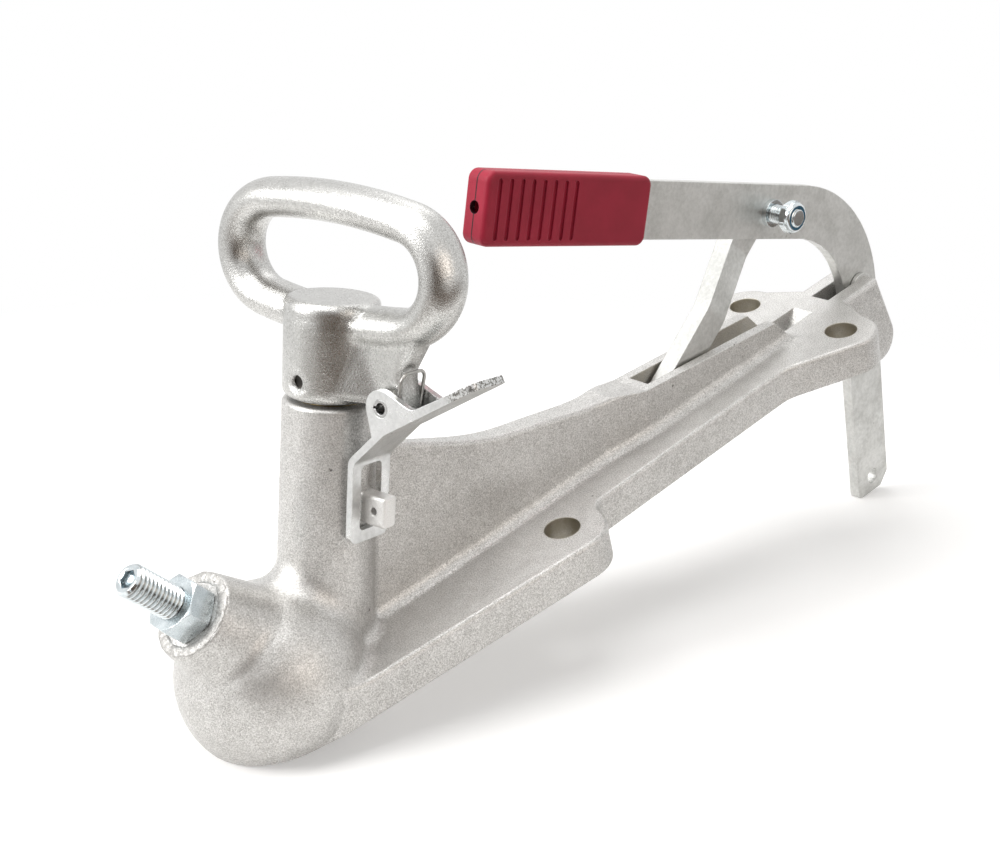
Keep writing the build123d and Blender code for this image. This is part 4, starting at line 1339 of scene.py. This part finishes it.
@dataclass(frozen=True)
class Lamp:
    """A soft square lamp aimed at the object."""

    name: str
    place: Triple
    side: float
    power: float
    colour: Triple = (1.0, 1.0, 1.0)

    def build(self, target: Vector) -> None:
        """Make the lamp.

        Args:
            target: Point that it faces.
        """
        data = bpy.data.lights.new(self.name, "AREA")
        data.shape = "SQUARE"
        data.size = self.side
        data.energy = self.power
        data.color = self.colour
        lamp = linked(self.name, data)
        lamp.location = self.place
        lamp.rotation_euler = (target - Vector(self.place)).to_track_quat("-Z", "Y").to_euler()
        lamp.visible_camera = False


def light_path_mask(graph: Graph) -> Sock:
    """Mask that is 1 for camera, glossy and transmission rays."""
    camera, glossy, passing = (graph.node("LightPath", out=name) for name in SEEN_RAYS)
    return camera.highest(glossy).highest(passing)


@dataclass
class Studio:
    """Floor under the tilted coupling, lamps, dark cards, world and camera."""

    eye: Triple = (-0.188855, -0.422262, 0.332172)
    right: Triple = (0.72023375, -0.66604516, -0.19402884)
    down: Triple = (-0.46424772, -0.25491679, -0.84822844)
    ahead: Triple = (0.51549724, 0.70100020, -0.49280962)
    lens: float = 56.806
    sensor: float = 36.0
    clip_start: float = 0.01
    floor_low: Triple = (0.330, 0.0, -0.1175)
    floor_high: Triple = (-0.0305, 0.0, -0.0150)
    floor_share: float = 0.45
    floor_reach: float = 0.75
    floor_tone: Colour = (0.82, 0.815, 0.805, 1.0)
    white_start: float = 0.40
    white_full: float = 0.62
    card_tone: Colour = (0.12, 0.085, 0.062, 1.0)
    card_rough: float = 0.9
    ambient: float = 0.34
    glow: float = 0.34
    target: Triple = (0.14, 0.0, 0.03)
    cards: tuple[tuple[str, Triple, Triple, Triple], ...] = (
        ("card_wall", (-0.45, -0.76, 0.42), (0.46, -0.43, 0.0), (0.0, 0.0, 0.40)),
        ("card_floor", (0.1417, -0.51, -0.057), (0.7695, 0.0, -0.2188), (0.0, 0.26, 0.0)),
        ("card_left", (-0.435, -0.04, 0.107), (0.15, 0.0, -0.04265), (0.0, 0.21, 0.0)),
    )
    lamps: tuple[Lamp, ...] = (
        Lamp("lamp_key", (-1.35, 0.75, 1.60), 1.1, 35.0),
        Lamp("lamp_top", (0.30, 0.30, 2.00), 1.4, 24.0),
        Lamp("lamp_rear", (0.60, 0.30, 0.45), 0.3, 0.38),
        Lamp("lamp_fill", (0.55, -1.70, 0.60), 1.0, 4.0, (1.0, 0.84, 0.70)),
    )

    def camera(self) -> None:
        """Make the camera at the photograph's solved place."""
        data = bpy.data.cameras.new("camera")
        data.lens = self.lens
        data.sensor_width = self.sensor
        data.sensor_fit = "HORIZONTAL"
        data.clip_start = self.clip_start
        camera = linked("camera", data)
        columns = [Vector(self.right), -Vector(self.down), -Vector(self.ahead)]
        turn = Matrix(columns).transposed().to_4x4()
        camera.matrix_world = Matrix.Translation(self.eye) @ turn
        bpy.context.scene.camera = camera

    def floor_material(self) -> bpy.types.Material:
        """White floor that keeps shadows, shines a little to the camera and has no underside.

        Returns:
            The material.
        """
        made = bpy.data.materials.new("studio_floor")
        made.use_nodes = True
        graph = Graph(made.node_tree)
        seen = light_path_mask(graph)
        matt = graph.node("BsdfDiffuse", {"Color": self.floor_tone})
        glow = graph.node("Emission", {"Color": WHITE, "Strength": seen * self.glow})
        near = graph.node("AddShader", {0: matt, 1: glow})
        white = graph.node("Emission", {"Color": WHITE, "Strength": seen})
        away = graph.vector("LENGTH", graph.where, out="Value")
        far = away.between(self.white_start, self.white_full)
        lit = graph.node("MixShader", {0: far, 1: near, 2: white})
        clear = graph.node("BsdfTransparent")
        under = graph.node("NewGeometry", out="Backfacing")
        both = graph.node("MixShader", {0: under, 1: lit, 2: clear})
        graph.node("OutputMaterial", {"Surface": both})
        return made

    def plane(self, name: str, middle: Vector, across: Vector, along: Vector) -> bpy.types.Object:
        """Make a stage rectangle from its middle and two half sides.

        Args:
            name: Name of the object.
            middle: Its middle.
            across: First half side.
            along: Second half side; the face looks along across x along.

        Returns:
            The stage object.
        """
        corners = [middle + across * i + along * j for i, j in ((-1, -1), (1, -1), (1, 1), (-1, 1))]
        mesh = bpy.data.meshes.new(name)
        mesh.from_pydata([tuple(corner) for corner in corners], [], [(0, 1, 2, 3)])
        made = linked(name, mesh)
        return made

    def floor(self) -> None:
        """Make the floor through the two lines on which the coupling rests."""
        slope = (Vector(self.floor_low) - Vector(self.floor_high)).normalized()
        across = Vector((0.0, 1.0, 0.0))
        middle = Vector(self.floor_high).lerp(Vector(self.floor_low), self.floor_share)
        floor = self.plane("studio_floor", middle, slope * self.floor_reach, across * self.floor_reach)
        floor.data.materials.append(self.floor_material())

    def hang_cards(self) -> None:
        """Make the dark cards outside the picture that the metal reflects."""
        for name, *sides in self.cards:
            paper = bpy.data.materials.new("studio_card")
            paper.use_nodes = True
            Graph(paper.node_tree).surface({"Base Color": self.card_tone, "Roughness": self.card_rough})
            card = self.plane(name, *map(Vector, sides))
            card.data.materials.append(paper)
            card.visible_camera = False
            card.visible_shadow = False

    def world(self) -> None:
        """White to the camera and to reflections, and a soft grey light on the object."""
        world = bpy.data.worlds.new("studio_world")
        world.use_nodes = True
        bpy.context.scene.world = world
        graph = Graph(world.node_tree)
        strength = self.ambient + (1.0 - self.ambient) * light_path_mask(graph)
        sky = graph.node("Background", {"Color": WHITE, "Strength": strength})
        graph.node("OutputWorld", {"Surface": sky})

    def build(self) -> None:
        """Make the whole studio."""
        self.floor()
        self.hang_cards()
        self.world()
        for lamp in self.lamps:
            lamp.build(Vector(self.target))
        self.camera()
        bpy.context.scene.view_settings.view_transform = "Standard"


def main() -> None:
    """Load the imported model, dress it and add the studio."""
    logging.basicConfig(level=logging.INFO, format="%(name)s: %(message)s")
    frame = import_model()
    LOG.info("loaded %d nodes", len(frame["nodes"]))
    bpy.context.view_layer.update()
    for group in (Casting(), Adjuster(), LiftHandle(), BrakeLever(), Stay()):
        group.build()
    Studio().build()


if __name__ == "__main__":
    main()
